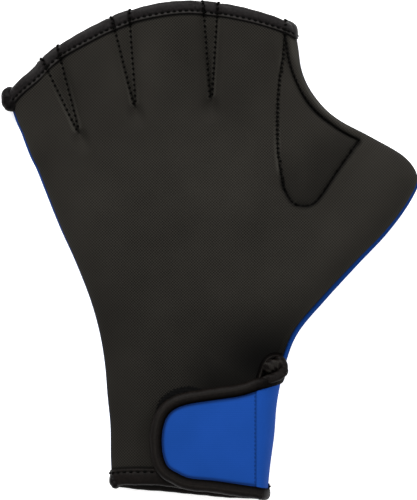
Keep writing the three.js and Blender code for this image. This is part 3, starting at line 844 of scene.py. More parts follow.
@dataclass
class SheetGrid:
    """One sheet of the glove as rows across and columns along, with the relief of its seams."""

    face: Face
    row_step: float = 1.25
    edge_row_step: float = 0.42
    finger_rows_reach: float = 11.0
    cuff_rows_reach: float = 9.0
    left_columns: int = 20
    web_columns: int = 8
    channel_columns: int = 20
    thumb_columns: int = 96
    fold_columns: int = 24
    flat_columns: int = 6
    fold_share: float = 0.86
    least_spread: float = 0.004
    outer: Array = field(init=False)
    inner: Array = field(init=False)
    crease: Array = field(init=False)
    unrolled: Array = field(init=False)
    stations: Array = field(init=False)

    def crossing(self, at: Array, point: Array, direction: Array) -> Array:
        """The shares at which rows cross a line.

        Args:
            at: The rows' stations.
            point: A point of the line.
            direction: The line's direction.

        Returns:
            One share for each row.
        """
        low, high = np.zeros(at.shape), np.ones(at.shape)
        for _ in range(24):
            middle = (low + high) / 2
            offset = PATTERN.place(self.face, middle, at) - point
            side = offset[..., 0] * direction[1] - offset[..., 1] * direction[0]
            low = np.where(side < 0, middle, low)
            high = np.where(side < 0, high, middle)
        return (low + high) / 2

    def root_of(self, web: Web) -> tuple[float, float]:
        """Station and share of a web's root."""
        low, high = np.array([0.5]), np.array([1.0])
        for _ in range(24):
            at = (low + high) / 2
            share = self.crossing(at, web.root, web.up)
            upward = (PATTERN.place(self.face, share, at) - web.root) @ web.up
            low = np.where(upward < 0, at, low)
            high = np.where(upward < 0, high, at)
        return float(low[0]), float(self.crossing(low, web.root, web.up)[0])

    def columns(self, at: Array) -> Array:
        """The shares of all the columns in every row; they follow the webs' seams."""
        lines = [np.zeros(at.shape)]
        for web in WEB_SEAMS:
            root_at, root_share = self.root_of(web)
            middle = self.crossing(at, web.root, web.up)
            left = self.crossing(at, web.root, web.left - web.root)
            right = self.crossing(at, web.root, web.right - web.root)
            climb = np.clip(at / root_at, 0, 1)
            lower = blend(web.cuff_share, root_share, climb)
            spread = blend(web.cuff_spread, self.least_spread, climb)
            above = at > root_at
            lines.append(np.where(above, np.minimum(left, middle - self.least_spread), lower - spread))
            lines.append(np.where(above, np.maximum(right, middle + self.least_spread), lower + spread))
        lines.append(np.ones(at.shape))
        web_steps = graded(self.web_columns, 1, 1)
        channel_steps = graded(self.channel_columns, 0.35, 0.35)
        steps = [
            graded(self.left_columns, 0.0, 0.45),
            web_steps,
            channel_steps,
            web_steps,
            channel_steps,
            web_steps,
            graded(self.thumb_columns, 0.4, 0.0),
        ]
        found = [blend(a[:, None], b[:, None], step) for a, b, step in zip(lines, lines[1:], steps)]
        return np.hstack([*found, lines[-1][:, None]])

    @property
    def sewn_from(self) -> float:
        """The station from which the thumb side is sewn to the other sheet."""
        return PATTERN.slit_end if self.face is Face.PALM else 0.0

    @property
    def fold_from(self) -> int:
        """How many columns lie before the fold round the wrist, which only the back has."""
        return self.outer.shape[1] - (self.fold_columns + self.flat_columns) * (self.face is Face.BACK)

    def from_seam(self, points: Array) -> tuple[Array, Array]:
        """Finds how far plan points are from the sewn sides.

        Args:
            points: Plan points.

        Returns:
            The distance to the nearest sewn side, and the seam's height there.
        """
        at = np.linspace(self.sewn_from, 1, 420)
        web_edge = smooth((at - 0.56) / 0.24)
        heights = blend(PATTERN.seam_height, PATTERN.web_edge_seam_height, web_edge)
        to_left, _ = distance_to_line(points, PATTERN.edge(self.face, False, np.linspace(0, 1, 200)))
        to_right, place = distance_to_line(points, PATTERN.edge(self.face, True, at))
        height = np.interp(place, np.linspace(0, 1, len(at)), heights)
        return np.minimum(to_left, to_right), np.where(to_right < to_left, height, PATTERN.seam_height)

    def height(self, points: Array, share: Array, at: Array, distance: Array, seam: Array) -> Array:
        """Height of the sheet's outer face at plan points, before its relief.

        Args:
            points: Plan points.
            share: Their shares from the left edge to the right.
            at: Their stations.
            distance: How far each is from the nearest sewn side.
            seam: The seam's height there.

        Returns:
            The heights.
        """
        p = PATTERN
        is_open = np.ones(len(points))
        for web in WEB_SEAMS:
            is_open *= 1 - web.hold(points)
        hold = 1 - is_open
        finger_edge = PATTERN.place(self.face, share, np.ones(len(points)))
        cuff_edge = PATTERN.place(self.face, share, np.zeros(len(points)))
        from_fingers = np.linalg.norm(points - finger_edge, axis=1)
        from_cuff = np.linalg.norm(points - cuff_edge, axis=1)
        finger_tape = 1 - smooth((from_fingers - 1.5 * p.finger_binding) / 12)
        cuff_tape = 1 - smooth((from_cuff - 1.5 * p.cuff_binding) / 12)
        half = blend(p.seam_gap / 2, p.tape_gap + p.tape + p.seam_gap / 2, finger_tape) + p.sheet
        if self.face is Face.PALM:
            free = blend(seam + p.seam_gap / 2, p.palm_top(at), roll(distance / p.palm_roll))
            return blend(free, p.seam_height + half, hold)
        ground = p.lift * np.maximum(finger_tape, cuff_tape)
        free = blend(seam - p.seam_gap / 2, ground, roll(distance / p.back_roll))
        return blend(free, p.seam_height - half, hold)

    def relief(self, points: Array) -> tuple[Array, Array]:
        """Works out the small relief of the sheet's outer face.

        Args:
            points: Plan points.

        Returns:
            The rise out of the glove, and the painted shade at each point; below zero a painted highlight.
        """
        rise = np.zeros(len(points))
        pale = np.zeros(len(points))
        for web in WEB_SEAMS:
            for is_left in (True, False):
                distance, _ = distance_to_line(points, web.stitch_row(is_left))
                rise -= 0.25 * bell(distance, 0.9)
                # A painted highlight along both sides of each stitch row.
                pale = np.maximum(pale, 0.2 * bell(distance - 0.8, 0.8))
            pucker = points - (web.root - web.up * 3.4)
            bump = np.exp(-np.sum((pucker / [1.7, 1.3]) ** 2, axis=1))
            rise += 0.35 * bump
            # A faint painted highlight on the pucker below the root.
            pale = np.maximum(pale, 0.07 * bump)
        x, y = points[:, 0], points[:, 1]
        wave = np.sin(x * 0.13 + 1.1 * np.sin(y * 0.061)) * np.sin(y * 0.094 + 0.7)
        if self.face is Face.BACK:
            return rise - 0.12 * (1 + wave), np.zeros(len(points))
        # The palm also takes painted shade by the gusset and towards the wrist; below zero the values are
        # painted highlights.
        dip, gusset_painted_shade = gusset_relief(points)
        sag, shade = wrist_relief(points)
        dark = np.maximum(gusset_painted_shade, shade)
        pale = np.maximum(pale, -gusset_painted_shade)
        return rise + 0.22 * wave + dip + sag, np.where(dark < 0.24, dark - pale, dark)

    def lip_painted_shadow(self, points: Array, share: Array) -> Array:
        """Works out the painted shadow: a dark line on the cloth along the lip of each binding.

        Args:
            points: Plan points.
            share: Their shares from the left edge to the right.

        Returns:
            The painted shadow at each point.
        """
        crease = np.zeros(len(points))
        for at, width in ((1.0, PATTERN.finger_binding), (0.0, PATTERN.cuff_binding)):
            edge = PATTERN.place(self.face, share, np.full(len(points), at))
            distance = np.linalg.norm(points - edge, axis=1)
            crease = np.maximum(crease, bell(distance - width - 0.45, 0.75))
        return crease

    def row_stations(self) -> Array:
        """The rows' stations: close together beside both bindings, and one at the wrist slit."""
        length = PATTERN.length
        cuff = np.arange(0, self.cuff_rows_reach, self.edge_row_step) / length
        last = length - self.finger_rows_reach
        middle = np.arange(self.cuff_rows_reach, last, self.row_step) / length
        fingers = 1 - np.arange(0, self.finger_rows_reach, self.edge_row_step)[::-1] / length
        found = np.concatenate([cuff, middle, fingers])
        nearest = found[int(np.argmin(np.abs(found - PATTERN.slit_station)))]
        return found + (PATTERN.slit_station - nearest) * np.interp(found, [0.05, nearest, 0.9], [0, 1, 0])

    def make(self) -> "SheetGrid":
        """Works out every point of the sheet.

        Returns:
            The grid itself.
        """
        self.stations = self.row_stations()
        shares = self.columns(self.stations)
        share, at = shares.ravel(), np.repeat(self.stations, shares.shape[1])
        plan = PATTERN.place(self.face, share, at)
        edge, seam = self.from_seam(plan)
        edge = np.where((share <= 0) | ((share >= 1) & (at >= self.sewn_from)), 0.0, edge)
        base = self.height(plan, share, at, edge, seam)
        rise, crease = self.relief(plan)
        # Painted shadow along each binding's lip.
        lip = self.lip_painted_shadow(plan, share)
        crease = np.where(lip > 0.05, np.maximum(crease, lip), crease)
        # On the back, painted shade on the blue near its sewn sides, under the palm's rolled edge.
        if self.face is Face.BACK:
            beside_palm = (at > PATTERN.slit_station) | (share < 0.5)
            crease = np.maximum(crease, 0.4 * beside_palm * (1 - smooth((edge - 0.6) / 2.4)))
        level = base + self.face.value * rise * smooth(edge / 3)
        self.outer = np.column_stack([plan, level]).reshape(*shares.shape, 3)
        self.crease = crease.reshape(shares.shape)
        if self.face is Face.BACK:
            self.add_wrist_fold()
        from_side = edge.reshape(shares.shape)
        self.inner = self.outer - PATTERN.sheet * self.normals(from_side)
        self.unrolled = self.flat_map(self.outer, from_side)
        return self

    @property
    def slit_row(self) -> int:
        """The row at the wrist slit."""
        return int(np.argmin(np.abs(self.stations - PATTERN.slit_station)))

    def flat_map(self, outer: Array, from_side: Array) -> Array:
        """Spreads plan points out over the rolled sides and the wrist fold, for an even weave.

        Args:
            outer: The sheet's outer face.
            from_side: How far each point before the fold is from the nearest sewn side.

        Returns:
            Where each point lies on the flat cloth.
        """
        step = np.diff(outer, axis=1)
        rise = np.linalg.norm(step, axis=2) - np.linalg.norm(step[..., :2], axis=2)
        rolled = np.ones(outer.shape[:2])
        rolled[:, : from_side.shape[1]] = 1 - smooth(from_side / 9)
        rise = np.nan_to_num(rise) * rolled[:, 1:]
        total = np.concatenate([np.zeros((len(outer), 1)), np.cumsum(rise, axis=1)], axis=1)
        flat = outer[..., :2].copy()
        flat[..., 0] += total - total[:, [from_side.shape[1] // 2]]
        return flat

    def add_wrist_fold(self) -> None:
        """Adds the columns that go on round the thumb side of the wrist, up to the strap's seam."""
        p = PATTERN
        lower = p.strap_seam_foot
        side = self.outer[:, -1]
        climb = (side[:, 1] - side[0, 1]) / (side[self.slit_row, 1] - side[0, 1])
        seam = np.column_stack([np.full(len(side), lower[0]), lower[1] + climb * p.strap_width])
        extra = []
        for turn in np.linspace(0, 1, self.fold_columns + 1)[1:]:
            angle = turn * math.pi / 2
            inwards = (1 - math.cos(angle)) * self.fold_share
            xy = blend(side[:, :2], seam, inwards)
            extra.append(np.column_stack([xy, blend(side[:, 2], p.strap_top, math.sin(angle))]))
        start = extra[-1]
        for t in np.linspace(0, 1, self.flat_columns + 1)[1:] ** 0.6:
            xy = blend(start[:, :2], seam + [p.strap_seam_gap / 2, 0], t)
            extra.append(np.column_stack([xy, start[:, 2]]))
        fold = np.stack(extra, axis=1)
        from_strap = fold[..., 0] - lower[0]
        fold[..., 2] -= p.strap_seam_dip * (1 - roll(from_strap / p.strap_seam_roll))
        fold[self.slit_row + 1 :] = np.nan
        self.outer = np.concatenate([self.outer, fold], axis=1)
        # A thin line of painted shade in the strap's seam.
        self.crease = np.concatenate([self.crease, 0.12 * bell(from_strap, 0.5)], axis=1)

    def normals(self, from_side: Array) -> Array:
        """Unit normals out of the glove, level where the sheet is sewn at its side.

        Args:
            from_side: How far each point is from the nearest sewn side.

        Returns:
            One normal for each point.
        """
        grid = self.outer

        def slope(axis: int) -> Array:
            """Differences along an axis, one-sided at the ends and beside missing points."""
            ahead = np.roll(grid, -1, axis=axis)
            behind = np.roll(grid, 1, axis=axis)
            last = [slice(None)] * 3
            first = [slice(None)] * 3
            last[axis], first[axis] = -1, 0
            ahead[tuple(last)] = np.nan
            behind[tuple(first)] = np.nan
            ahead = np.where(np.isnan(ahead), grid, ahead)
            behind = np.where(np.isnan(behind), grid, behind)
            return ahead - behind

        normals = unit(np.cross(slope(1), slope(0)) * self.face.value)
        radius = PATTERN.palm_roll if self.face is Face.PALM else PATTERN.back_roll
        middle = from_side.shape[1] // 2
        all_rows = np.ones(len(self.stations), bool)
        sewn_rows = self.stations >= self.sewn_from
        left_half, right_half = slice(0, middle), slice(middle, from_side.shape[1])
        for right, rows, columns in ((False, all_rows, left_half), (True, sewn_rows, right_half)):
            near = from_side[rows, columns][..., None]
            outward = PATTERN.outward(self.face, right, self.stations[rows])[:, None]
            level = outward * (1 - near / radius) / radius
            lift = np.array([0.0, 0.0, self.face.value]) * roll(near / radius) / 6.0
            share = smooth(1 - near / 0.9)
            normals[rows, columns] = unit(blend(normals[rows, columns], unit(level + lift), share))
        return normals

    def mid_sheet(self, line: Array) -> Array:
        """Where plan points lie in the middle of the sheet's thickness.

        Args:
            line: Plan points.

        Returns:
            Rows of the place and the sheet's normal; rows off the sheet are not numbers.
        """
        whole = self.sheet()
        faces = BVHTree.FromPolygons(whole.outer.tolist(), whole.faces)
        rows = []
        for x, y in line:
            place, normal, _, _ = faces.ray_cast(Vector((x, y, 60.0)), Vector((0, 0, -1)))
            if place is None:
                rows.append([math.nan] * 6)
                continue
            up = np.array(normal) * (1 if normal.z > 0 else -1)
            rows.append([*(np.array(place) - up * PATTERN.sheet / 2), *up])
        return np.array(rows)

    def sheet(self) -> Sheet:
        """Turns the grid to one sheet of faces.

        Returns:
            The sheet, without the missing points.
        """
        there = ~np.isnan(self.outer[..., 0])
        numbers = np.cumsum(there.ravel()).reshape(there.shape) - 1
        faces = cells(numbers)[cells(there).all(axis=-1)]
        return Sheet(
            self.outer[there],
            self.inner[there],
            self.unrolled[there],
            self.crease[there],
            [tuple(face) for face in faces.tolist()],
            self.face,
        )


def gusset_relief(points: Array) -> tuple[Array, Array]:
    """How the palm sheet and the gusset roll down to their seams, with painted shade in the seams and
    painted highlights beside them.

    Args:
        points: Plan points.

    Returns:
        The rise out of the glove, and the painted shade at each point; below zero a painted highlight.
    """
    outside = GUSSET.outside(points)
    away = np.abs(outside)
    to_palm, _ = distance_to_line(points, GUSSET.palm)
    to_thumb, _ = distance_to_line(points, GUSSET.thumb)
    to_web, along_web = distance_to_line(points, GUSSET.web)
    by_thumb = smooth(1 - (np.minimum(to_thumb, to_web) - 1) / 10)
    deep = by_thumb * smooth((PATTERN.length * 0.4 - points[:, 1]) / 30)
    rise = -blend(0.5, 1.8, deep) * (1 - roll(away / blend(2.0, 3.4, deep)))
    sunk = np.where(outside < 0, smooth(1 - to_thumb / 22), smooth(1 - to_thumb / 10) * 0.5)
    rise -= 1.9 * sunk
    strip = np.where((outside > 0) & (to_web < 9), np.sin(math.pi * np.clip(to_web / 7, 0, 1)), 0)
    strip = strip * smooth(1 - np.abs(along_web - 0.45) / 0.6)
    rise += 2.1 * strip
    thumb = np.exp(-np.sum(((points - PATTERN.point(0.4, 0.13)) / [22, 20]) ** 2, axis=1))
    rise += 0.8 * thumb * (outside > 0)
    # Painted shade in the seams' groove, beside the web-edge seam and over the gusset's low end by the
    # thumb.
    crease = bell(away, blend(0.5, 1.1, deep)) * blend(0.05, 1.0, deep)
    beside_web = bell(to_web, 1.3) * 0.6 * smooth(along_web * 4)
    shade = np.where(outside < 0, 0.42 * sunk, 0.12 * sunk)
    crease = np.maximum(crease, np.maximum(beside_web, shade))
    # Painted highlights beside the dotted palm seam, on the rolled strip at the web edge and its top, and on
    # the thumb.
    stitched = bell(to_palm - 0.9, 0.7) * (1 - deep)
    beside_tip = (to_web < to_palm) & (outside > 0)
    top = smooth((along_web - 0.66) / 0.2) * beside_tip * smooth((9 - to_web) / 3)
    lit = 0.22 * strip * smooth((to_web - 1.5) / 2) + 0.03 * thumb * (outside > 0)
    lit = lit + 0.14 * stitched + 0.2 * top
    return rise, np.where(crease < 0.15, crease - lit, crease)


@dataclass(frozen=True)
class Finish:
    """What every finish has: its name, its base colour and how it takes light."""

    name: str
    colour: str
    roughness: float
    gloss: float

    def begin(self) -> tuple[Material, NodeTree, Node]:
        """Makes the material with the values that are the same all over.

        Returns:
            The material, its tree and its shader.
        """
        made = bpy.data.materials.new(self.name)
        made.use_nodes = True
        made.diffuse_color = linear(self.colour)
        tree = made.node_tree
        shader = next(node for node in tree.nodes if node.type == "BSDF_PRINCIPLED")
        shader.inputs["Base Color"].default_value = linear(self.colour)
        shader.inputs["Roughness"].default_value = self.roughness
        shader.inputs["Specular IOR Level"].default_value = self.gloss
        return made, tree, shader

    def material(self) -> Material:
        """Makes the material; each kind of finish has its own way."""
        raise NotImplementedError

    def along_cloth(self, tree: NodeTree) -> tuple[NodeSocket, NodeSocket]:
        """The two directions of the cloth, in metres, from the piece's own map."""
        place = add(tree, "ShaderNodeUVMap", uv_map="cloth")
        parts = add(tree, "ShaderNodeSeparateXYZ", {0: place.outputs[0]})
        return parts.outputs[0], parts.outputs[1]

    def cloudy(self, tree: NodeTree, size: float, detail: float = 2.0) -> NodeSocket:
        """Soft noise from 0 to 1 with patches of a size in millimetres."""
        place = add(tree, "ShaderNodeTexCoord").outputs["Object"]
        inputs = {"Vector": place, "Scale": 1000 / size, "Detail": detail}
        return add(tree, "ShaderNodeTexNoise", inputs).outputs[0]

    def mixed(self, tree: NodeTree, share: object, first: object, second: object) -> NodeSocket:
        """A colour between two others."""
        return add(tree, "ShaderNodeMix", {0: share, 6: first, 7: second}, data_type="RGBA").outputs[2]

    def with_painted_shade(self, tree: NodeTree, colour: NodeSocket, depth: float) -> NodeSocket:
        """Paints shade into a colour where the piece's painted shade is above zero, and a painted highlight
        where it is below.

        Args:
            tree: The material's tree.
            colour: The colour.
            depth: How dark the deepest painted shade is, 0 to 1.

        Returns:
            The new colour.
        """
        crease = add(tree, "ShaderNodeAttribute", attribute_name="crease")
        dark = maths(tree, "MAXIMUM", maths(tree, "MULTIPLY", crease.outputs["Fac"], depth), 0.0)
        pale = maths(tree, "MAXIMUM", maths(tree, "MULTIPLY", crease.outputs["Fac"], -1.0), 0.0)
        # Near black for the painted shade, a pale grey for the painted highlight.
        return self.mixed(tree, dark, self.mixed(tree, pale, colour, linear("56544e")), linear("030303"))

    def bumped(self, shader: Node, height: object, distance: float, strength: float) -> None:
        """Gives the shader a bump.

        Args:
            shader: The material's shader.
            height: The relief, 0 to 1.
            distance: Its full height in millimetres.
            strength: How much of it shows.
        """
        inputs = {"Height": height, "Distance": distance * MM, "Strength": strength}
        tree = shader.id_data
        tree.links.new(add(tree, "ShaderNodeBump", inputs).outputs[0], shader.inputs["Normal"])


@dataclass(frozen=True)
class WovenNylonFace(Finish):
    """Neoprene faced with plain-woven nylon: matt, with a fine checker of warp and weft."""

    light: str = "2c2a26"
    thread_pair: float = 1.4

    def material(self) -> Material:
        """Makes the material.

        Returns:
            The finished material.
        """
        made, tree, shader = self.begin()
        across, along = self.along_cloth(tree)
        # A real pair of threads is about 0.5 mm; it is drawn nearly three times as coarse, or no pixel
        # would show it.
        turns = 2 * math.pi / (self.thread_pair * MM)
        weft = maths(tree, "SINE", maths(tree, "MULTIPLY", across, turns))
        warp = maths(tree, "SINE", maths(tree, "MULTIPLY", along, turns))
        weave = maths(tree, "MULTIPLY_ADD", maths(tree, "MULTIPLY", weft, warp), 0.5, 0.5)
        cloud = self.cloudy(tree, 34)
        share = maths(tree, "MULTIPLY_ADD", weave, 0.95, maths(tree, "MULTIPLY_ADD", cloud, 0.5, -0.22))
        colour = self.mixed(tree, share, linear(self.colour), linear(self.light))
        tree.links.new(self.with_painted_shade(tree, colour, 0.96), shader.inputs["Base Color"])
        fuzz = self.cloudy(tree, 0.9, 1.0)
        self.bumped(shader, maths(tree, "MULTIPLY_ADD", fuzz, 0.35, weave), 0.11, 0.6)
        return made


@dataclass(frozen=True)
class KnitJerseyFace(Finish):
    """Neoprene faced with smooth nylon jersey: even, with a soft sheen and hardly any texture."""

    light: str = "174292"
    course: float = 0.9

    def material(self) -> Material:
        """Makes the material.

        Returns:
            The finished material.
        """
        made, tree, shader = self.begin()
        across, along = self.along_cloth(tree)
        # Knit courses are about 0.4 mm apart on the real cloth; they are drawn at twice that.
        turns = 2 * math.pi / (self.course * MM)
        wale = maths(tree, "ABSOLUTE", maths(tree, "SINE", maths(tree, "MULTIPLY", across, turns / 2)))
        slant = maths(tree, "MULTIPLY_ADD", wale, 1.6, maths(tree, "MULTIPLY", along, turns))
        loops = maths(tree, "MULTIPLY_ADD", maths(tree, "SINE", slant), 0.5, 0.5)
        cloud = self.cloudy(tree, 26)
        share = maths(tree, "MULTIPLY_ADD", loops, 0.12, maths(tree, "MULTIPLY_ADD", cloud, 0.7, -0.08))
        colour = self.mixed(tree, share, linear(self.colour), linear(self.light))
        tree.links.new(self.with_painted_shade(tree, colour, 0.75), shader.inputs["Base Color"])
        self.bumped(shader, loops, 0.05, 0.35)
        return made


@dataclass(frozen=True)
class SatinBindingTape(Finish):
    """Folded nylon binding tape: a close cross rib with a soft satin shine along its fold."""

    light: str = "2c2a2b"
    rib: float = 0.7

    def material(self) -> Material:
        """Makes the material.

        Returns:
            The finished material.
        """
        made, tree, shader = self.begin()
        along, _ = self.along_cloth(tree)
        # The ribs of such a tape are about 0.35 mm apart; they are drawn at twice that.
        rib = maths(tree, "SINE", maths(tree, "MULTIPLY", along, 2 * math.pi / (self.rib * MM)))
        ribs = maths(tree, "MULTIPLY_ADD", rib, 0.5, 0.5)
        fleck = self.cloudy(tree, 1.1, 3.0)
        share = maths(tree, "MULTIPLY_ADD", ribs, 0.3, maths(tree, "MULTIPLY_ADD", fleck, 2.0, -0.68))
        colour = self.mixed(tree, share, linear(self.colour), linear(self.light))
        tree.links.new(self.with_painted_shade(tree, colour, 0.85), shader.inputs["Base Color"])
        # Where the tape is painted in shade it doesn't shine either, as no light would reach there.
        crease = add(tree, "ShaderNodeAttribute", attribute_name="crease")
        lit = maths(tree, "SUBTRACT", 1.0, maths(tree, "MAXIMUM", crease.outputs["Fac"], 0.0))
        tree.links.new(maths(tree, "MULTIPLY", lit, self.gloss), shader.inputs["Specular IOR Level"])
        self.bumped(shader, maths(tree, "MULTIPLY_ADD", fleck, 0.8, ribs), 0.07, 0.5)
        return made


@dataclass(frozen=True)
class HookTapeFace(Finish):
    """Nylon hook tape: a stiff black ground with rows of short bristly hooks."""

    hook_pitch: float = 1.5

    def material(self) -> Material:
        """Makes the material.

        Returns:
            The finished material.
        """
        made, tree, shader = self.begin()
        place = add(tree, "ShaderNodeTexCoord").outputs["Object"]
        inputs = {"Vector": place, "Scale": 1000 / self.hook_pitch, "Randomness": 0.35}
        rows = add(tree, "ShaderNodeTexVoronoi", inputs)
        colour = self.mixed(tree, rows.outputs["Distance"], linear("090909"), linear(self.colour))
        tree.links.new(colour, shader.inputs["Base Color"])
        self.bumped(shader, maths(tree, "SUBTRACT", 1.0, rows.outputs["Distance"]), 0.4, 0.8)
        return made


@dataclass(frozen=True)
class PolyesterThread(Finish):
    """Spun polyester sewing thread: round, twisted, nearly black in the seams."""

    light: str = "060605"
    twist: float = 0.45

    def material(self) -> Material:
        """Makes the material.

        Returns:
            The finished material.
        """
        made, tree, shader = self.begin()
        place = add(tree, "ShaderNodeTexCoord")
        inputs = {"Vector": place.outputs["Object"], "Scale": 1000 / self.twist, "Distortion": 2.0}
        ply = add(tree, "ShaderNodeTexWave", inputs, bands_direction="DIAGONAL")
        colour = self.mixed(tree, ply.outputs["Fac"], linear(self.colour), linear(self.light))
        tree.links.new(colour, shader.inputs["Base Color"])
        self.bumped(shader, ply.outputs["Fac"], 0.05, 0.5)
        return made


def worn(finish: Finish) -> Material:
    """A field of the wardrobe that makes its material when the wardrobe is made."""
    return field(default_factory=finish.material)


@dataclass(frozen=True)
class Wardrobe:
    """All the finishes, made once, in this order."""

    palm: Material = worn(
        WovenNylonFace("woven_nylon_on_neoprene_black", "090807", 0.92, 0.05)
    )
    back: Material = worn(
        KnitJerseyFace("jersey_nylon_on_neoprene_blue", "0c3575", 0.8, 0.05)
    )
    lining: Material = worn(
        KnitJerseyFace("jersey_lining_black", "121110", 0.9, 0.06, light="1b1a18")
    )
    tape: Material = worn(
        SatinBindingTape("satin_binding_tape_black", "040303", 0.5, 0.1, light="191616")
    )
    # The strap's own darker, browner tape; the cuff tapes take it too, as painted shade.
    strap_and_shaded_tape: Material = worn(
        SatinBindingTape("satin_strap_tape_black", "050403", 0.55, 0.07, light="110c0a")
    )
    hook: Material = worn(
        HookTapeFace("hook_tape_nylon_black", "030303", 0.85, 0.05)
    )
    thread: Material = worn(
        PolyesterThread("polyester_thread_black", "020202", 0.8, 0.03)
    )
    blue_thread: Material = worn(
        PolyesterThread("polyester_thread_blue", "081c44", 0.8, 0.05, light="0d2c62")
    )


@dataclass
class Binding:
    """Binding tape folded over the edge of a sheet and sewn through near its lip.

    Each row of frames holds the edge, a place further in, and the sheet's normal at both.
    """

    name: str
    width: float
    frames: Array
    spacing: float = 0.65
    stitch_pitch: float = 2.9
    lip: float = 1.35
    fullness: float = 1.0
    nose: float = 1.2
    lip_shine: float = 0.04
    is_piping: bool = False
    # How far from its start the tape is painted in shade; 0 for none.
    dark_start: float = 0.0
    crossed_by: list[Array] = field(default_factory=list)
    doubled_at: list[tuple[Array, float]] = field(default_factory=list)

    def section(self) -> Array:
        """The folded tape's outline: distance in from the edge, height over mid-sheet, painted shade."""
        if self.is_piping:
            return self.closed(self.round_face(), 0.2)
        half, w, f = PATTERN.sheet / 2, self.width, self.fullness
        # The third value paints shade: a dark line at the lip and a painted highlight on the strip beside
        # it.
        face = [
            (w, half + 0.06, 1.0),
            (w + 0.14, half + 0.3 * f, 0.7),
            (w, half + 0.55 * f, 0.1),
            (w - 0.45, half + 0.7 * f, -self.lip_shine),
            (w - self.lip + 0.35, half + 0.66 * f, -0.5 * self.lip_shine),
            (w - self.lip, half + 0.56 * f, 0.1),
            (w - self.lip - 0.35, half + 0.68 * f, 0.0),
            (w - self.lip - 0.9, half + 0.9 * f, 0.0),
            (w * 0.5, half + 1.02 * f, 0.0),
            (w * 0.3, half + 1.04 * f, 0.0),
            (0.7, half + 0.98 * f, 0.0),
            (0.0, half + 0.82 * f, 0.0),
            (-self.nose * 0.55, half + 0.42 * f, 0.0),
            (-self.nose * 0.88, half - 0.25, 0.0),
        ]
        return self.closed(face, 0.22)

    def closed(self, face: list[tuple[float, float, float]], bite: float) -> Array:
        """Closes a section: its upper face, the same below, and the hidden inside of the fold.

        Args:
            face: The upper face from the lip to the fold.
            bite: How far the fold's inside stands off the sheet's edge.

        Returns:
            The whole outline.
        """
        half, within = PATTERN.sheet / 2, self.width * 0.5
        lower = [(d, -h, c) for d, h, c in reversed(face)]
        upper_inside = [(-0.1, half + 0.02), (within, half + 0.05)]
        lower_inside = [(within, -half - 0.05), (-0.1, -half - 0.02)]
        # The hidden inside of the fold is fully in painted shade.
        hidden = [(d, h, 1.0) for d, h in (*lower_inside, (-bite, 0.0), *upper_inside)]
        return np.array([*face, (-self.nose, 0.0, 0.0), *lower, *hidden])

    def round_face(self) -> list[tuple[float, float, float]]:
        """The upper face of a full, rounded tape whose stitches lie in the ditch beside it; its inner side
        is painted in shade and its crest has a faint painted highlight.
        """
        half, w, f, n = PATTERN.sheet / 2, self.width, self.fullness, self.nose
        return [
            (w - 0.15, half + 0.05, 1.0),
            (w, half + 0.2 * f, 1.0),
            (w - 0.2, half + 0.48 * f, 0.95),
            (w - 0.65, half + 0.76 * f, 0.9),
            (w - 1.3, half + 0.98 * f, 0.6),
            (w * 0.52, half + 1.14 * f, 0.12),
            (w * 0.32, half + 1.2 * f, -0.04),
            (w * 0.14, half + 1.16 * f, -0.02),
            (0.1, half + 0.94 * f, 0.0),
            (-n * 0.35, half + 0.62 * f, 0.0),
            (-n * 0.68, half + 0.16 * f, 0.0),
            (-n * 0.9, half - 0.45, 0.0),
        ]

    def stations(self) -> Array:
        """The frames, evenly spaced along the edge."""
        return evenly(self.frames, self.spacing)

    def build(self, material: Material) -> Object:
        """Makes the tape.

        Args:
            material: Its finish.

        Returns:
            The new object.
        """
        frames = self.stations()
        edge, within = frames[:, 0:3], frames[:, 3:6]
        edge_normal, within_normal = frames[:, 6:9], frames[:, 9:12]
        section = self.section()
        run = run_of(edge)
        reach = np.linalg.norm(within - edge, axis=1)
        inwards = unit(within - edge)
        pinch = np.zeros(len(edge))
        for seam in self.crossed_by:
            distance, _ = distance_to_line(edge[:, :2], seam)
            pinch = np.maximum(pinch, bell(distance, 0.9))
        doubled = np.zeros(len(edge))
        for middle, reach_along in self.doubled_at:
            away = np.linalg.norm(edge[:, :2] - middle, axis=1)
            doubled = np.maximum(doubled, smooth((reach_along - away) / 1.6 + 0.5))
        sewn = 0.5 + 0.5 * np.cos(2 * math.pi * run / self.stitch_pitch)
        sway = 0.07 * np.sin(run * 0.31) + 0.05 * np.sin(run * 0.83 + 1.0)
        lower = 1 - 0.1 * pinch
        rings = []
        for d, h, _ in section:
            share = np.clip(d / reach, 0, 1)[:, None]
            normal = unit(blend(edge_normal, within_normal, share))
            beside_lip = 0.0 if self.is_piping else bell(d - self.width + self.lip, 0.5)
            is_outside = abs(h) > PATTERN.sheet / 2 + 0.1
            height = h * lower - math.copysign(0.14 * beside_lip, h) * sewn * is_outside
            inward = d + (0.4 * pinch + sway - 0.45 * doubled) * (d < 0.1)
            rings.append(edge + inwards * np.reshape(inward, (-1, 1)) + normal * np.reshape(height, (-1, 1)))
        points = np.stack(rings, axis=1)
        around = run_of(section[:, :2])
        # The tape's first length, under the end of the slit, is painted in shade.
        in_dark = 1 - smooth(2 * run / self.dark_start - 1) if self.dark_start else np.zeros(len(run))
        crease = np.maximum(section[None, :, 2], np.where(in_dark > 0, 0.85 * in_dark, -1.0)[:, None])
        return swept(self.name, points, run, around, crease, material)

    def stitch_path(self, side: int) -> Array:
        """Where the stitches run on one face of the tape.

        Args:
            side: 1 for the upper face, -1 for the lower one.

        Returns:
            Points and the way out of the tape.
        """
        frames = self.stations()
        edge, within = frames[:, 0:3], frames[:, 3:6]
        reach = np.linalg.norm(within - edge, axis=1)
        inward = self.width - self.lip
        share = np.clip(inward / reach, 0, 1)[:, None]
        normal = unit(blend(frames[:, 6:9], frames[:, 9:12], share)) * side
        height = PATTERN.sheet / 2 + 0.78 * self.fullness
        return np.hstack([edge + unit(within - edge) * inward + normal * height, normal])


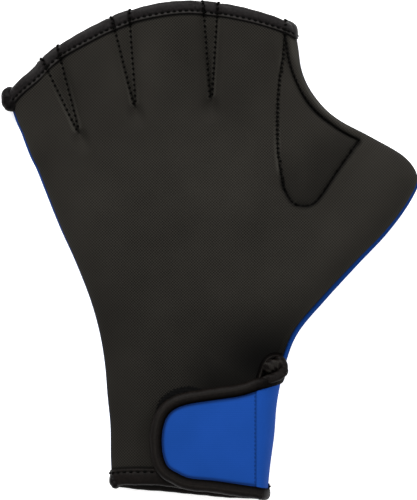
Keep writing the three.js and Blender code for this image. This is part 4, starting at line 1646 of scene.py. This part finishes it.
def swept(
    name: str, rings: Array, run: Array, around: Array, crease: Array, material: Material
) -> Object:
    """Makes a closed body from rings of points, with a map along it and round it.

    Args:
        name: The new object's name.
        rings: Points, ring by ring, in millimetres.
        run: How far along each ring lies.
        around: How far round each point of a ring lies.
        crease: Painted shade at each point; below zero a painted highlight.
        material: The finish.

    Returns:
        The new object.
    """
    count, sides = rings.shape[:2]
    i = np.arange(count - 1)[:, None]
    j = np.arange(sides)[None, :]
    k = (j + 1) % sides
    corners = (i * sides + j, i * sides + k, (i + 1) * sides + k, (i + 1) * sides + j)
    quads = np.stack(corners, axis=-1).reshape(-1, 4)
    first = list(range(sides))[::-1]
    last = [(count - 1) * sides + n for n in range(sides)]
    faces = quads.tolist() + [first, last]
    if signed_volume(rings) < 0:
        faces = [face[::-1] for face in faces]
    mesh = bpy.data.meshes.new(name)
    mesh.from_pydata(to_row(rings.reshape(-1, 3)).tolist(), [], faces)
    mesh.materials.append(material)
    flags = np.ones(len(mesh.polygons), bool)
    flags[-2:] = False
    mesh.polygons.foreach_set("use_smooth", flags)
    flat = np.stack(np.meshgrid(run, around, indexing="ij"), axis=-1).reshape(-1, 2)
    mark(mesh, np.broadcast_to(crease, (count, sides)).ravel(), flat)
    return linked(name, mesh)


def signed_volume(rings: Array) -> float:
    """The volume inside rings joined in order, negative if their faces look inwards."""
    total = 0.0
    for a, b in zip(rings, rings[1:]):
        middle = (a.mean(axis=0) + b.mean(axis=0)) / 2
        n, m = np.roll(a, -1, axis=0) - middle, np.roll(b, -1, axis=0) - middle
        p, q = a - middle, b - middle
        total += float(np.sum(p * np.cross(n, m)) + np.sum(p * np.cross(m, q)))
    return total


@dataclass
class TapeEnd:
    """A folded end of tape, sewn down as a small soft lump that wraps a corner."""

    name: str
    path: Array
    half_width: float
    half_height: float
    rounding: float = 0.3
    folds: float = 0.05
    squareness: float = 2.8
    # Painted shade over the whole lump, 0 to 1; below zero it is a painted highlight.
    shade: float = 0.0
    sides: int = 36

    def build(self, material: Material) -> Object:
        """Makes the lump.

        Args:
            material: Its finish.

        Returns:
            The new object.
        """
        line = smooth_path(self.path, 0.25)
        tangent = unit(np.gradient(line, axis=0))
        across = unit(np.cross(tangent, [0, 0, 1]))
        upward = unit(np.cross(across, tangent))
        t = np.linspace(0, 1, len(line))
        from_end = np.minimum(t, 1 - t) / self.rounding
        size = np.maximum(roll(from_end), 0.06)
        angle = np.linspace(0, 2 * math.pi, self.sides, endpoint=False)
        power = 2 / self.squareness
        x = np.sign(np.cos(angle)) * np.abs(np.cos(angle)) ** power
        y = np.sign(np.sin(angle)) * np.abs(np.sin(angle)) ** power
        ripple = 1 + self.folds * np.sin(3 * angle[None, :] + 9 * t[:, None]) * np.sin(17 * t[:, None] + 1)
        scale = (size[:, None] * ripple)[..., None]
        wide = across[:, None] * (self.half_width * x)[None, :, None]
        high = upward[:, None] * (self.half_height * y)[None, :, None]
        rings = line[:, None] + scale * (wide + high)
        around = angle * (self.half_width + self.half_height) / 2
        # Painted shade: the lump's own share all over, and more in the hollows of its ripples.
        crease = self.shade + (1 - self.shade) * np.clip((1 - ripple) / self.folds, 0, 1) * 0.5
        return swept(self.name, rings, run_of(line), around, crease, material)


@dataclass
class TapeWrap:
    """The tape's last length, folded round a corner over both sheets and sewn flat."""

    outline: Array
    wrapped: Array
    middle: float
    half_height: float
    radius: float = 3.4
    rings: int = 16

    def sheet(self) -> Sheet:
        """The wrap as two matching faces that meet round the folded run of its outline."""
        edge = evenly(np.vstack([self.outline, self.outline[:1]]), 0.4)[:-1]
        count = len(edge)
        share = np.linspace(0, 1, self.rings + 1)[:-1, None, None]
        middle = edge.mean(axis=0)
        plan = np.vstack([blend(edge[None], middle, share).reshape(-1, 2), middle])
        to_fold, _ = distance_to_line(plan, self.wrapped)
        to_edge, _ = distance_to_line(plan, np.vstack([edge, edge[:1]]))
        cut_edge = bell(to_edge, 0.45) * smooth(to_fold / 2)
        half = self.half_height * (0.06 + 0.94 * roll(to_fold / self.radius)) - 0.45 * cut_edge
        faces = []
        for ring in range(self.rings - 1):
            for i in range(count):
                k = (i + 1) % count
                near, far = ring * count, (ring + 1) * count
                faces.append((near + i, near + k, far + k, far + i))
        start = (self.rings - 1) * count
        faces += [(start + i, start + (i + 1) % count, self.rings * count) for i in range(count)]
        outer = np.column_stack([plan, self.middle + half])
        inner = np.column_stack([plan, self.middle - half])
        # The tucked-down cut edge is painted in shade.
        return Sheet(outer, inner, plan, cut_edge * 0.8, faces, Face.PALM)


def mid_frames(grid: SheetGrid, row: int, inner_row: int, columns: Array) -> Array:
    """Makes frames for a binding along a row of a sheet.

    Args:
        grid: The sheet.
        row: The row along the edge.
        inner_row: A row further in.
        columns: The columns to follow, in order.

    Returns:
        Rows of edge, within, edge normal and within normal.
    """
    faces = [(grid.outer[at, columns], grid.inner[at, columns]) for at in (row, inner_row)]
    middles = [(outer + inner) / 2 for outer, inner in faces]
    return np.hstack([*middles, *(unit(outer - inner) for outer, inner in faces)])


@dataclass
class StrapTab:
    """The round-ended tab of the wrist strap, its hook tape and the seam it is sewn on by."""

    columns: int = 70
    rows: int = 60
    crown: float = 0.45

    def plan(self, shares: Array) -> Array:
        """Plan points from shares of the strap's length from its seam and of its width up."""
        seam = PATTERN.strap_seam_foot
        x = seam[0] - PATTERN.strap_seam_gap / 2 - shares[..., 0] * PATTERN.strap_length
        y = seam[1] + shares[..., 1] * PATTERN.strap_width
        return np.stack([x, y], axis=-1)

    def outline(self, spacing: float = 0.6) -> Array:
        """The tab's edge from the upper end of its seam round to the lower end."""
        around = np.vstack([np.array(STRAP_UPPER), np.array(STRAP_LOWER)[::-1]])
        line = smooth_path(self.plan(around), spacing)
        rounds = int(round(6 / spacing**2))
        for _ in range(rounds):
            line[1:-1] += (line[:-2] + line[2:] - 2 * line[1:-1]) / 4
        return line

    def edges(self) -> tuple[Array, Array]:
        """The upper and the lower edge, point for point from the seam to the round end."""
        outline = self.outline(0.2)
        tip = int(np.argmin(outline[:, 0]))
        upper, lower = outline[: tip + 1], outline[tip:][::-1]
        share = np.sin(np.linspace(0, math.pi / 2, self.columns + 1))
        x = outline[0, 0] + (outline[tip, 0] - outline[0, 0]) * share
        highs = np.interp(-x, -np.minimum.accumulate(upper[:, 0]), upper[:, 1])
        lows = np.interp(-x, -np.minimum.accumulate(lower[:, 0]), lower[:, 1])
        return np.column_stack([x, highs]), np.column_stack([x, lows])

    def sheet(self) -> Sheet:
        """The tab as a sheet, a little crowned, rolled down at its seam."""
        upper, lower = self.edges()
        share = np.linspace(0, 1, self.rows + 1)[:, None, None]
        plan = blend(lower[None], upper[None], share)
        from_seam = plan[0, 0, 0] - plan[..., 0]
        up = share[..., 0] * np.ones((1, plan.shape[1]))
        crown = self.crown * np.sin(math.pi * up) * smooth(from_seam / 12)
        crown *= smooth((PATTERN.strap_length - from_seam) / 10)
        down = -PATTERN.strap_seam_dip * (1 - roll(from_seam / PATTERN.strap_seam_roll))
        outer = np.concatenate([plan, (PATTERN.strap_top + crown + down)[..., None]], axis=-1)[:, ::-1]
        inner = outer - [0, 0, PATTERN.sheet]
        to_edge, _ = distance_to_line(plan.reshape(-1, 2), self.outline())
        # Painted shadow on the blue along the tape's lip, and a faint line of painted shade in the seam.
        lip = bell(to_edge.reshape(up.shape) - PATTERN.strap_binding - 0.4, 0.75)
        crease = np.maximum(0.16 * bell(from_seam, 0.5), lip)[:, ::-1]
        faces = cells(np.arange(crease.size).reshape(crease.shape)).reshape(-1, 4)
        return Sheet(
            outer.reshape(-1, 3),
            inner.reshape(-1, 3),
            outer[..., :2].reshape(-1, 2),
            crease.ravel(),
            [tuple(face) for face in faces.tolist()],
            Face.PALM,
        )

    def hook_tape(self, material: Material) -> Object:
        """The hook tape under the tab, a thin plate with a pinked edge.

        Args:
            material: Its finish.

        Returns:
            The new object.
        """
        p = PATTERN
        corners = p.points(HOOK_OUTLINE)
        edge = smooth_path(np.vstack([corners, corners[:1]]), 0.9)[:-1]
        middle = edge.mean(axis=0)
        teeth = 1 + 0.022 * (np.arange(len(edge)) % 2 * 2 - 1)
        edge = middle + (edge - middle) * teeth[:, None]
        bottom = p.cuff_top + p.seam_gap
        points = np.vstack([np.column_stack([edge, np.full(len(edge), z)]) for z in (bottom, bottom + 1.6)])
        count = len(edge)
        walls = [((i + 1) % count, i, i + count, (i + 1) % count + count) for i in range(count)]
        faces = [list(range(count)), [i + count for i in range(count)][::-1], *walls]
        mesh = bpy.data.meshes.new("hook_patch_tape")
        mesh.from_pydata(to_row(points).tolist(), [], faces)
        mesh.materials.append(material)
        return linked("hook_patch_tape", mesh)


@dataclass(frozen=True)
class Stitch:
    """One kind of stitch: the distance from one to the next, and its size, in millimetres."""

    pitch: float
    length: float
    width: float
    height: float


WEB_STITCH = Stitch(2.5, 1.35, 1.75, 1.2)
GUSSET_STITCH = Stitch(2.25, 1.15, 1.65, 1.2)
SUNKEN_STITCH = Stitch(2.2, 1.2, 1.0, 0.8)
STRAP_STITCH = Stitch(1.9, 1.2, 0.5, 0.35)


class StitchRows:
    """Rows of stitches that follow paths, made by one Geometry Nodes tree."""

    lean = 0.12
    seed = 7

    def __init__(self) -> None:
        """Builds the tree."""
        tree = bpy.data.node_groups.new("stitch_row", "GeometryNodeTree")
        self.tree = tree
        self.sockets: dict[str, str] = {}
        interface = tree.interface
        interface.new_socket("Geometry", in_out="INPUT", socket_type="NodeSocketGeometry")
        numbers = {"Pitch": 0.002, "Length": 0.0012, "Width": 0.0006, "Height": 0.0004, "Lean": 0.1}
        for name, value in numbers.items():
            made = interface.new_socket(name, in_out="INPUT", socket_type="NodeSocketFloat")
            made.default_value = value
            self.sockets[name] = made.identifier
        seed = interface.new_socket("Seed", in_out="INPUT", socket_type="NodeSocketInt")
        seed.default_value = self.seed
        self.sockets["Seed"] = seed.identifier
        thread = interface.new_socket("Thread", in_out="INPUT", socket_type="NodeSocketMaterial")
        self.sockets["Thread"] = thread.identifier
        interface.new_socket("Geometry", in_out="OUTPUT", socket_type="NodeSocketGeometry")
        given = add(tree, "NodeGroupInput").outputs
        curve = add(tree, "GeometryNodeMeshToCurve", {0: given["Geometry"]})
        inputs = {"Curve": curve.outputs[0], "Length": given["Pitch"]}
        even = add(tree, "GeometryNodeResampleCurve", inputs, mode="LENGTH")
        tangent = add(tree, "GeometryNodeInputTangent")
        out = add(tree, "GeometryNodeInputNamedAttribute", {"Name": "out"}, data_type="FLOAT_VECTOR")
        lengthwise = add(tree, "FunctionNodeAlignRotationToVector", {"Vector": tangent.outputs[0]}, axis="X")
        turned = add(
            tree,
            "FunctionNodeAlignRotationToVector",
            {"Rotation": lengthwise.outputs[0], "Vector": out.outputs[0]},
            axis="Z",
            pivot_axis="X",
        )
        low = maths(tree, "MULTIPLY", given["Lean"], -1.0)
        lean = add(tree, "FunctionNodeRandomValue", data_type="FLOAT")
        tree.links.new(low, lean.inputs[2])
        tree.links.new(given["Lean"], lean.inputs[3])
        tree.links.new(given["Seed"], lean.inputs["Seed"])
        inputs = {"Axis": (0.0, 0.0, 1.0), "Angle": lean.outputs[1]}
        spin = add(tree, "FunctionNodeAxisAngleToRotation", inputs)
        leaning = add(
            tree,
            "FunctionNodeRotateRotation",
            {"Rotation": turned.outputs[0], "Rotate By": spin.outputs[0]},
            rotation_space="LOCAL",
        )
        ball = add(tree, "GeometryNodeMeshUVSphere", {"Segments": 8, "Rings": 5, "Radius": 0.5})
        size = add(tree, "ShaderNodeCombineXYZ", {0: given["Length"], 1: given["Width"], 2: given["Height"]})
        stitch = add(tree, "GeometryNodeTransform", {"Geometry": ball.outputs[0], "Scale": size.outputs[0]})
        rounded = add(tree, "GeometryNodeSetShadeSmooth", {0: stitch.outputs[0]})
        placed = add(
            tree,
            "GeometryNodeInstanceOnPoints",
            {"Points": even.outputs[0], "Instance": rounded.outputs[0], "Rotation": leaning.outputs[0]},
        )
        real = add(tree, "GeometryNodeRealizeInstances", {0: placed.outputs[0]})
        inputs = {"Geometry": real.outputs[0], "Material": given["Thread"]}
        dressed = add(tree, "GeometryNodeSetMaterial", inputs)
        add(tree, "NodeGroupOutput", {0: dressed.outputs[0]})

    def sew(self, name: str, paths: list[Array], stitch: Stitch, thread: Material) -> Object:
        """Sews one set of rows as a plain mesh.

        Args:
            name: The new object's name.
            paths: Rows of points with the way out of the cloth, in millimetres.
            stitch: The kind of stitch.
            thread: The thread's finish.

        Returns:
            The new object.
        """
        points = np.vstack([path[:, :3] for path in paths])
        outs = np.vstack([path[:, 3:6] for path in paths])
        edges = []
        start = 0
        for path in paths:
            edges += [(start + i, start + i + 1) for i in range(len(path) - 1)]
            start += len(path)
        mesh = bpy.data.meshes.new(name + "_path")
        mesh.from_pydata(to_row(points).tolist(), edges, [])
        way = mesh.attributes.new("out", "FLOAT_VECTOR", "POINT")
        way.data.foreach_set("vector", outs.astype(np.float32).ravel())
        source = linked(name + "_path", mesh)
        rows = source.modifiers.new("stitches", "NODES")
        rows.node_group = self.tree
        for key in ("Pitch", "Length", "Width", "Height"):
            rows[self.sockets[key]] = getattr(stitch, key.lower()) * MM
        rows[self.sockets["Lean"]] = self.lean
        rows[self.sockets["Seed"]] = self.seed
        rows[self.sockets["Thread"]] = thread
        bpy.context.view_layer.update()
        evaluated = source.evaluated_get(bpy.context.evaluated_depsgraph_get())
        sewn = bpy.data.meshes.new_from_object(evaluated)
        bpy.data.objects.remove(source)
        sewn.name = name
        return linked(name, sewn)


class Drop:
    """Lays plan lines on the pieces below or above them."""

    def __init__(self, pieces: Sequence[Object], from_above: bool) -> None:
        """Reads the pieces' faces.

        Args:
            pieces: The pieces to lie on.
            from_above: Whether lines come down from above, or up from below.
        """
        self.from_above = from_above
        self.trees = []
        for piece in pieces:
            points = [vertex.co.copy() for vertex in piece.data.vertices]
            faces = [tuple(face.vertices) for face in piece.data.polygons]
            self.trees.append(BVHTree.FromPolygons(points, faces))

    def lay(self, line: Array, out: float) -> Array:
        """Lays one plan line.

        Args:
            line: Plan points in millimetres.
            out: How far off the face it lies, in millimetres.

        Returns:
            Points with the way out of the face, where the line met a piece.
        """
        start, way = (60.0, Vector((0, 0, -1))) if self.from_above else (-60.0, Vector((0, 0, 1)))
        found = []
        for x, y in line:
            origin = Vector(to_row(np.array([x, y, start])))
            hits = [hit for hit in (tree.ray_cast(origin, way) for tree in self.trees) if hit[0] is not None]
            if not hits:
                continue
            place, normal, _, _ = min(hits, key=lambda hit: hit[3])
            normal = -normal if normal.dot(way) > 0 else normal
            at = np.array(place) / MM - ROW_OFFSET + np.array(normal) * out
            found.append([*at, *normal])
        return np.array(found)


@dataclass
class PalmFace:
    """The black palm sheet with the thumb gusset let into it."""

    grid: SheetGrid = field(default_factory=lambda: SheetGrid(Face.PALM).make())
    gap: float = 0.12

    def build(self, finishes: Wardrobe) -> list[Object]:
        """Makes the palm and the gusset from one stretched surface, cut along the gusset's seams.

        Args:
            finishes: The finishes.

        Returns:
            The palm and the gusset.
        """
        whole = self.grid.sheet()
        outside = GUSSET.outside(whole.outer[:, :2])
        palm = whole.cut(np.minimum(outside - self.gap, SLIT.outside(whole.outer[:, :2])))
        gusset = whole.cut(-outside - self.gap)
        made = [
            palm.piece("palm_panel_cloth", finishes.palm, finishes.lining),
            gusset.piece("thumb_gusset_cloth", finishes.palm, finishes.lining),
        ]
        palm.area()
        gusset.area()
        return made


@dataclass
class BlueBack:
    """The blue back sheet, which goes on round the thumb side of the wrist."""

    grid: SheetGrid = field(default_factory=lambda: SheetGrid(Face.BACK, thumb_columns=70).make())

    def build(self, finishes: Wardrobe) -> Object:
        """Makes the back.

        Args:
            finishes: The finishes.

        Returns:
            The back.
        """
        sheet = self.grid.sheet()
        made = sheet.piece("back_panel_cloth", finishes.back, finishes.lining)
        sheet.area()
        return made


@dataclass
class Trims:
    """All the binding tapes and their folded ends."""

    palm: SheetGrid
    back: SheetGrid
    strap: StrapTab

    def seam_lines(self) -> list[Array]:
        """The web seams, drawn on past the binding."""
        return [web.seam(end, 6.0) for web in WEB_SEAMS for end in (web.left, web.right)]

    def finger(self, grid: SheetGrid, name: str) -> Binding:
        """The binding of one sheet's finger edge."""
        return Binding(
            name,
            PATTERN.finger_binding,
            mid_frames(grid, -1, -17, np.arange(grid.fold_from)),
            lip_shine=0.13,
            crossed_by=self.seam_lines(),
            doubled_at=[((web.left + web.right) / 2, web.half_width) for web in WEB_SEAMS],
        )

    def cuff(self, grid: SheetGrid, name: str) -> Binding:
        """The binding of one sheet's cuff edge."""
        columns = np.arange(grid.fold_from)
        if grid.face is Face.PALM:
            columns = columns[SLIT.outside(grid.outer[0, :, :2]) > 0]
        return Binding(name, PATTERN.cuff_binding, mid_frames(grid, 0, 18, columns), stitch_pitch=3.2)

    def slit(self) -> Binding:
        """The binding of the palm's free edge along the wrist slit."""
        line = SLIT.line[SLIT.line[:, 1] > -0.452 * PATTERN.length]
        tangent = unit(np.gradient(line, axis=0))
        inwards = np.column_stack([tangent[:, 1], -tangent[:, 0]])
        edge = self.palm.mid_sheet(line)
        within = self.palm.mid_sheet(line + inwards * 5.0)
        there = ~np.isnan(edge[:, 0]) & ~np.isnan(within[:, 0])
        frames = np.hstack([edge[there, :3], within[there, :3], edge[there, 3:], within[there, 3:]])
        for _ in range(6):
            frames[1:-1] = (frames[:-2] + 2 * frames[1:-1] + frames[2:]) / 4
        return Binding(
            "slit_binding_tape", 2.2, frames, spacing=0.45, fullness=1.1, nose=0.8, is_piping=True
        )

    def strap_edge(self) -> Binding:
        """The binding of the strap: over the fold, round the tab and back over the fold to the cuff."""
        p = PATTERN
        columns = np.arange(self.back.fold_from - 1, self.back.outer.shape[1])
        upper = mid_frames(self.back, self.back.slit_row, self.back.slit_row - 5, columns)
        lower = mid_frames(self.back, 0, 14, columns)
        outline = self.strap.outline()
        tangent = unit(np.gradient(outline, axis=0))
        inwards = np.column_stack([-tangent[:, 1], tangent[:, 0]])
        middle = p.strap_top - p.sheet / 2
        edge = np.column_stack([outline, np.full(len(outline), middle)])
        within = edge + np.column_stack([inwards, np.zeros(len(outline))]) * 6
        up = np.tile([0.0, 0.0, 1.0], (len(outline), 1))
        tab = np.hstack([edge, within, up, up])[2:-2]
        frames = np.vstack([upper[:-2], tab, lower[::-1][2:]])
        return Binding(
            "strap_binding_tape",
            p.strap_binding,
            frames,
            fullness=1.15,
            nose=1.3,
            is_piping=True,
            dark_start=22.0,
        )

    def ends(self) -> list[TapeEnd]:
        """The folded tape ends, each along a path of shares across and along, and heights."""
        z = PATTERN.seam_height
        left = ((-0.4664, 0.325, z), (-0.477, 0.3056, z), (-0.463, 0.2785, z))
        bight = (
            (0.161, -0.2155, 12.2), (0.1755, -0.221, 12.0), (0.1815, -0.234, 12.4),
            (0.177, -0.2455, 14.0), (0.166, -0.2505, 15.6),
        )
        tuck = (
            (0.1335, -0.2415, 12.2), (0.148, -0.2325, 13.2),
            (0.164, -0.2295, 13.2), (0.181, -0.2335, 12.0),
        )
        over = (
            (0.124, -0.2605, 17.9), (0.145, -0.2575, 17.5), (0.163, -0.252, 16.6),
            (0.178, -0.2435, 14.6), (0.185, -0.2345, 12.2),
        )
        cuff = ((-0.2215, -0.447, z), (-0.229, -0.4615, z), (-0.2165, -0.4765, z))
        places = PATTERN.places
        return [
            TapeEnd("finger_tape_end_left", places(left), 4.5, 4.7, 0.42, 0.06, shade=0.55),
            TapeEnd("slit_tape_bight", places(bight), 1.85, 2.2, 0.2, 0.05),
            TapeEnd("slit_tape_tuck", places(tuck), 2.9, 1.9, 0.25, 0.07, shade=-0.07),
            TapeEnd("strap_tape_end_over_slit", places(over), 2.3, 1.9, 0.25, 0.04),
            TapeEnd("cuff_tape_end_left", places(cuff), 2.1, 4.6, folds=0.06, shade=0.3),
        ]

    def corner_wrap(self) -> TapeWrap:
        """The finger tape's right end, wrapped round the corner between index finger and thumb."""
        p = PATTERN
        corner = (
            (0.181, 0.4625), (0.192, 0.4605), (0.2037, 0.456),
            (0.2122, 0.449), (0.2155, 0.4385), (0.2155, 0.4235),
        )
        fold = p.path(corner, 0.4)
        cut_edge = p.points(((0.199, 0.4253), (0.1815, 0.4268)))
        half_height = p.sheet + p.tape_gap + p.tape + 1.5
        return TapeWrap(np.vstack([fold, cut_edge]), fold, p.seam_height, half_height)

    def build(self, finishes: Wardrobe) -> dict[str, tuple[Binding, Object]]:
        """Makes every tape.

        Args:
            finishes: The finishes.

        Returns:
            Each binding and its object, by the node it stands for.
        """
        bindings = {
            "finger_binding_palm": self.finger(self.palm, "finger_binding_palm_tape"),
            "finger_binding_back": self.finger(self.back, "finger_binding_back_tape"),
            "cuff_binding_palm": self.cuff(self.palm, "cuff_binding_palm_tape"),
            "cuff_binding_back": self.cuff(self.back, "cuff_binding_back_tape"),
            "slit_binding": self.slit(),
            "strap_binding": self.strap_edge(),
        }
        made = {}
        for node, binding in bindings.items():
            # The strap and slit tapes take their own darker, browner tape; the cuff tapes take it too, as
            # painted shade.
            finish = finishes.tape if node.startswith("finger") else finishes.strap_and_shaded_tape
            made[node] = (binding, binding.build(finish))
        return made

    def build_ends(self, finishes: Wardrobe) -> list[Object]:
        """Makes the folded ends of the tapes.

        Args:
            finishes: The finishes.

        Returns:
            The ends.
        """
        made = []
        for end in self.ends():
            made.append(end.build(finishes.strap_and_shaded_tape if "slit" in end.name else finishes.tape))
        wrap = self.corner_wrap().sheet()
        return [*made, wrap.piece("finger_tape_end_right", finishes.tape, finishes.tape)]


@dataclass(frozen=True)
class StudioPaper(Finish):
    """Matt white background paper, lit so that it stays even."""

    glow: float = 0.55

    def material(self) -> Material:
        """Makes the material.

        Returns:
            The finished material.
        """
        made, _, shader = self.begin()
        shader.inputs["Emission Color"].default_value = linear("ffffff")
        shader.inputs["Emission Strength"].default_value = self.glow
        return made


@dataclass
class Studio:
    """A pale floor, soft light from the finger side and a camera straight above."""

    distance: float = 1.6
    lens: float = 240.0
    floor_size: float = 6.0
    world_light: float = 0.6

    def floor(self) -> None:
        """Lays the floor just under the glove."""
        half = self.floor_size / 2
        corners = [(-half, -half, 0), (half, -half, 0), (half, half, 0), (-half, half, 0)]
        mesh = bpy.data.meshes.new("floor")
        mesh.from_pydata(corners, [], [(0, 1, 2, 3)])
        mesh.materials.append(StudioPaper("matt_white_studio_paper", "fbfbfb", 0.9, 0.1).material())
        linked("floor", mesh)

    def lamp(self, name: str, place: tuple[float, float, float], size: float, power: float) -> None:
        """Hangs one soft lamp that looks at the glove.

        Args:
            name: Its name.
            place: Where it hangs, in metres.
            size: Side of its square face.
            power: Its power in watts.
        """
        light = bpy.data.lights.new(name, "AREA")
        light.size = size
        light.energy = power
        lamp = bpy.data.objects.new(name, light)
        lamp.location = place
        lamp.rotation_euler = (-Vector(place)).to_track_quat("-Z", "Y").to_euler()
        bpy.context.scene.collection.objects.link(lamp)

    def build(self) -> None:
        """Makes the floor, the light and the camera."""
        self.floor()
        world = bpy.data.worlds.new("pale_studio")
        world.use_nodes = True
        background = next(node for node in world.node_tree.nodes if node.type == "BACKGROUND")
        background.inputs["Color"].default_value = linear("ffffff")
        background.inputs["Strength"].default_value = self.world_light
        bpy.context.scene.world = world
        self.lamp("finger_side_softbox", (-0.4, 0.85, 0.8), 0.6, 18.0)
        self.lamp("overhead_softbox", (0.3, 0.3, 1.9), 1.2, 7.0)
        self.lamp("thumb_side_softbox", (1.0, 0.45, 0.75), 0.5, 6.0)
        bpy.context.scene.view_settings.view_transform = "Standard"
        camera = bpy.data.cameras.new("camera")
        camera.lens = self.lens
        camera.sensor_width = 36.0
        eye = bpy.data.objects.new("camera", camera)
        eye.location = (*(ROW_OFFSET[:2] * MM), self.distance + 0.01)
        bpy.context.scene.collection.objects.link(eye)
        bpy.context.scene.camera = eye


def dress(piece: Object, slot: str, *nodes: str) -> None:
    """Lets a finished piece ride on the frame and stand for its nodes.

    Args:
        piece: The piece.
        slot: Not used.
        *nodes: The nodes it stands for.
    """
    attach(piece, "root")
    if nodes:
        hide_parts(*nodes)
    LOG.info("%s: %d faces", piece.name, len(piece.data.polygons))


def sew_all(
    finishes: Wardrobe,
    palm_pieces: Sequence[Object],
    back_pieces: Sequence[Object],
    strap_pieces: Sequence[Object],
    tapes: dict[str, tuple[Binding, Object]],
) -> None:
    """Sews every visible row of stitches.

    Args:
        finishes: The finishes.
        palm_pieces: What the palm's stitches lie on.
        back_pieces: What the back's stitches lie on.
        strap_pieces: What the strap's stitches lie on.
        tapes: Each binding and its object.
    """
    rows = StitchRows()
    above, below = Drop(palm_pieces, True), Drop(back_pieces, False)
    webs = [evenly(web.stitch_row(is_left), 0.5) for web in WEB_SEAMS for is_left in (True, False)]
    sets = {
        "web_stitches_palm": ([above.lay(line, 0.45) for line in webs], WEB_STITCH),
        "web_stitches_back": ([below.lay(line, 0.45) for line in webs], WEB_STITCH),
    }
    # The gusset's rows lie just inside its outline, so that none of them drops into the gap of its seam.
    seams = (GUSSET.palm, GUSSET.web[40:], GUSSET.web[:41], GUSSET.thumb)
    inside = [aside(line, 0.3) for line in seams]
    corner = evenly(PATTERN.points(((0.184, 0.458), (0.184, 0.43))), 0.5)
    bold = [above.lay(line, 0.65) for line in (*inside[:2], corner)]
    sets["gusset_stitches"] = (bold, GUSSET_STITCH)
    sunken = [above.lay(line, 0.1) for line in inside[2:]]
    sets["gusset_sunken_stitches"] = (sunken, SUNKEN_STITCH)
    for node, (binding, _) in tapes.items():
        # A rounded tape's stitches lie hidden in the ditch beside it.
        if not binding.is_piping:
            paths = [binding.stitch_path(side) for side in (1, -1)]
            sets[node + "_stitches"] = (paths, Stitch(binding.stitch_pitch, 1.95, 1.15, 0.85))
    for name, (paths, stitch) in sets.items():
        sewn = rows.sew(name, [path for path in paths if len(path) > 1], stitch, finishes.thread)
        dress(sewn, "binding_tape")
    beside = PATTERN.strap_seam_foot - [0.6, 0.0]
    line = evenly(np.array([beside + [0, 5.0], beside + [0, PATTERN.strap_width - 5.5]]), 1.0)
    on_strap = [Drop(strap_pieces, True).lay(line, 0.05)]
    dress(rows.sew("strap_seam_stitches", on_strap, STRAP_STITCH, finishes.blue_thread), "back_cloth")


def main() -> None:
    """Builds the glove piece by piece, then the studio."""
    finishes = Wardrobe()
    palm, back, strap = PalmFace(), BlueBack(), StrapTab()
    Studio().build()
    palm_cloth, gusset_cloth = palm.build(finishes)
    dress(palm_cloth, "palm_cloth", "palm_panel")
    dress(gusset_cloth, "palm_cloth", "thumb_gusset")
    back_cloth = back.build(finishes)
    dress(back_cloth, "back_cloth", "back_panel")
    tab = strap.sheet()
    tab_cloth = tab.piece("wrist_strap_cloth", finishes.back, finishes.lining)
    hook = strap.hook_tape(finishes.hook)
    dress(hook, "hook_tape", "hook_patch")
    tab.area()
    dress(tab_cloth, "back_cloth", "wrist_strap")
    trims = Trims(palm.grid, back.grid, strap)
    tapes = trims.build(finishes)
    for node, (_, piece) in tapes.items():
        dress(piece, "binding_tape", node)
    ends = trims.build_ends(finishes)
    for end in ends:
        dress(end, "binding_tape")
    sew_all(
        finishes,
        [palm_cloth, gusset_cloth, tapes["finger_binding_palm"][1], ends[-1]],
        [back_cloth, tapes["finger_binding_back"][1], ends[-1]],
        [tab_cloth],
        tapes,
    )


if __name__ == "__main__":
    main()
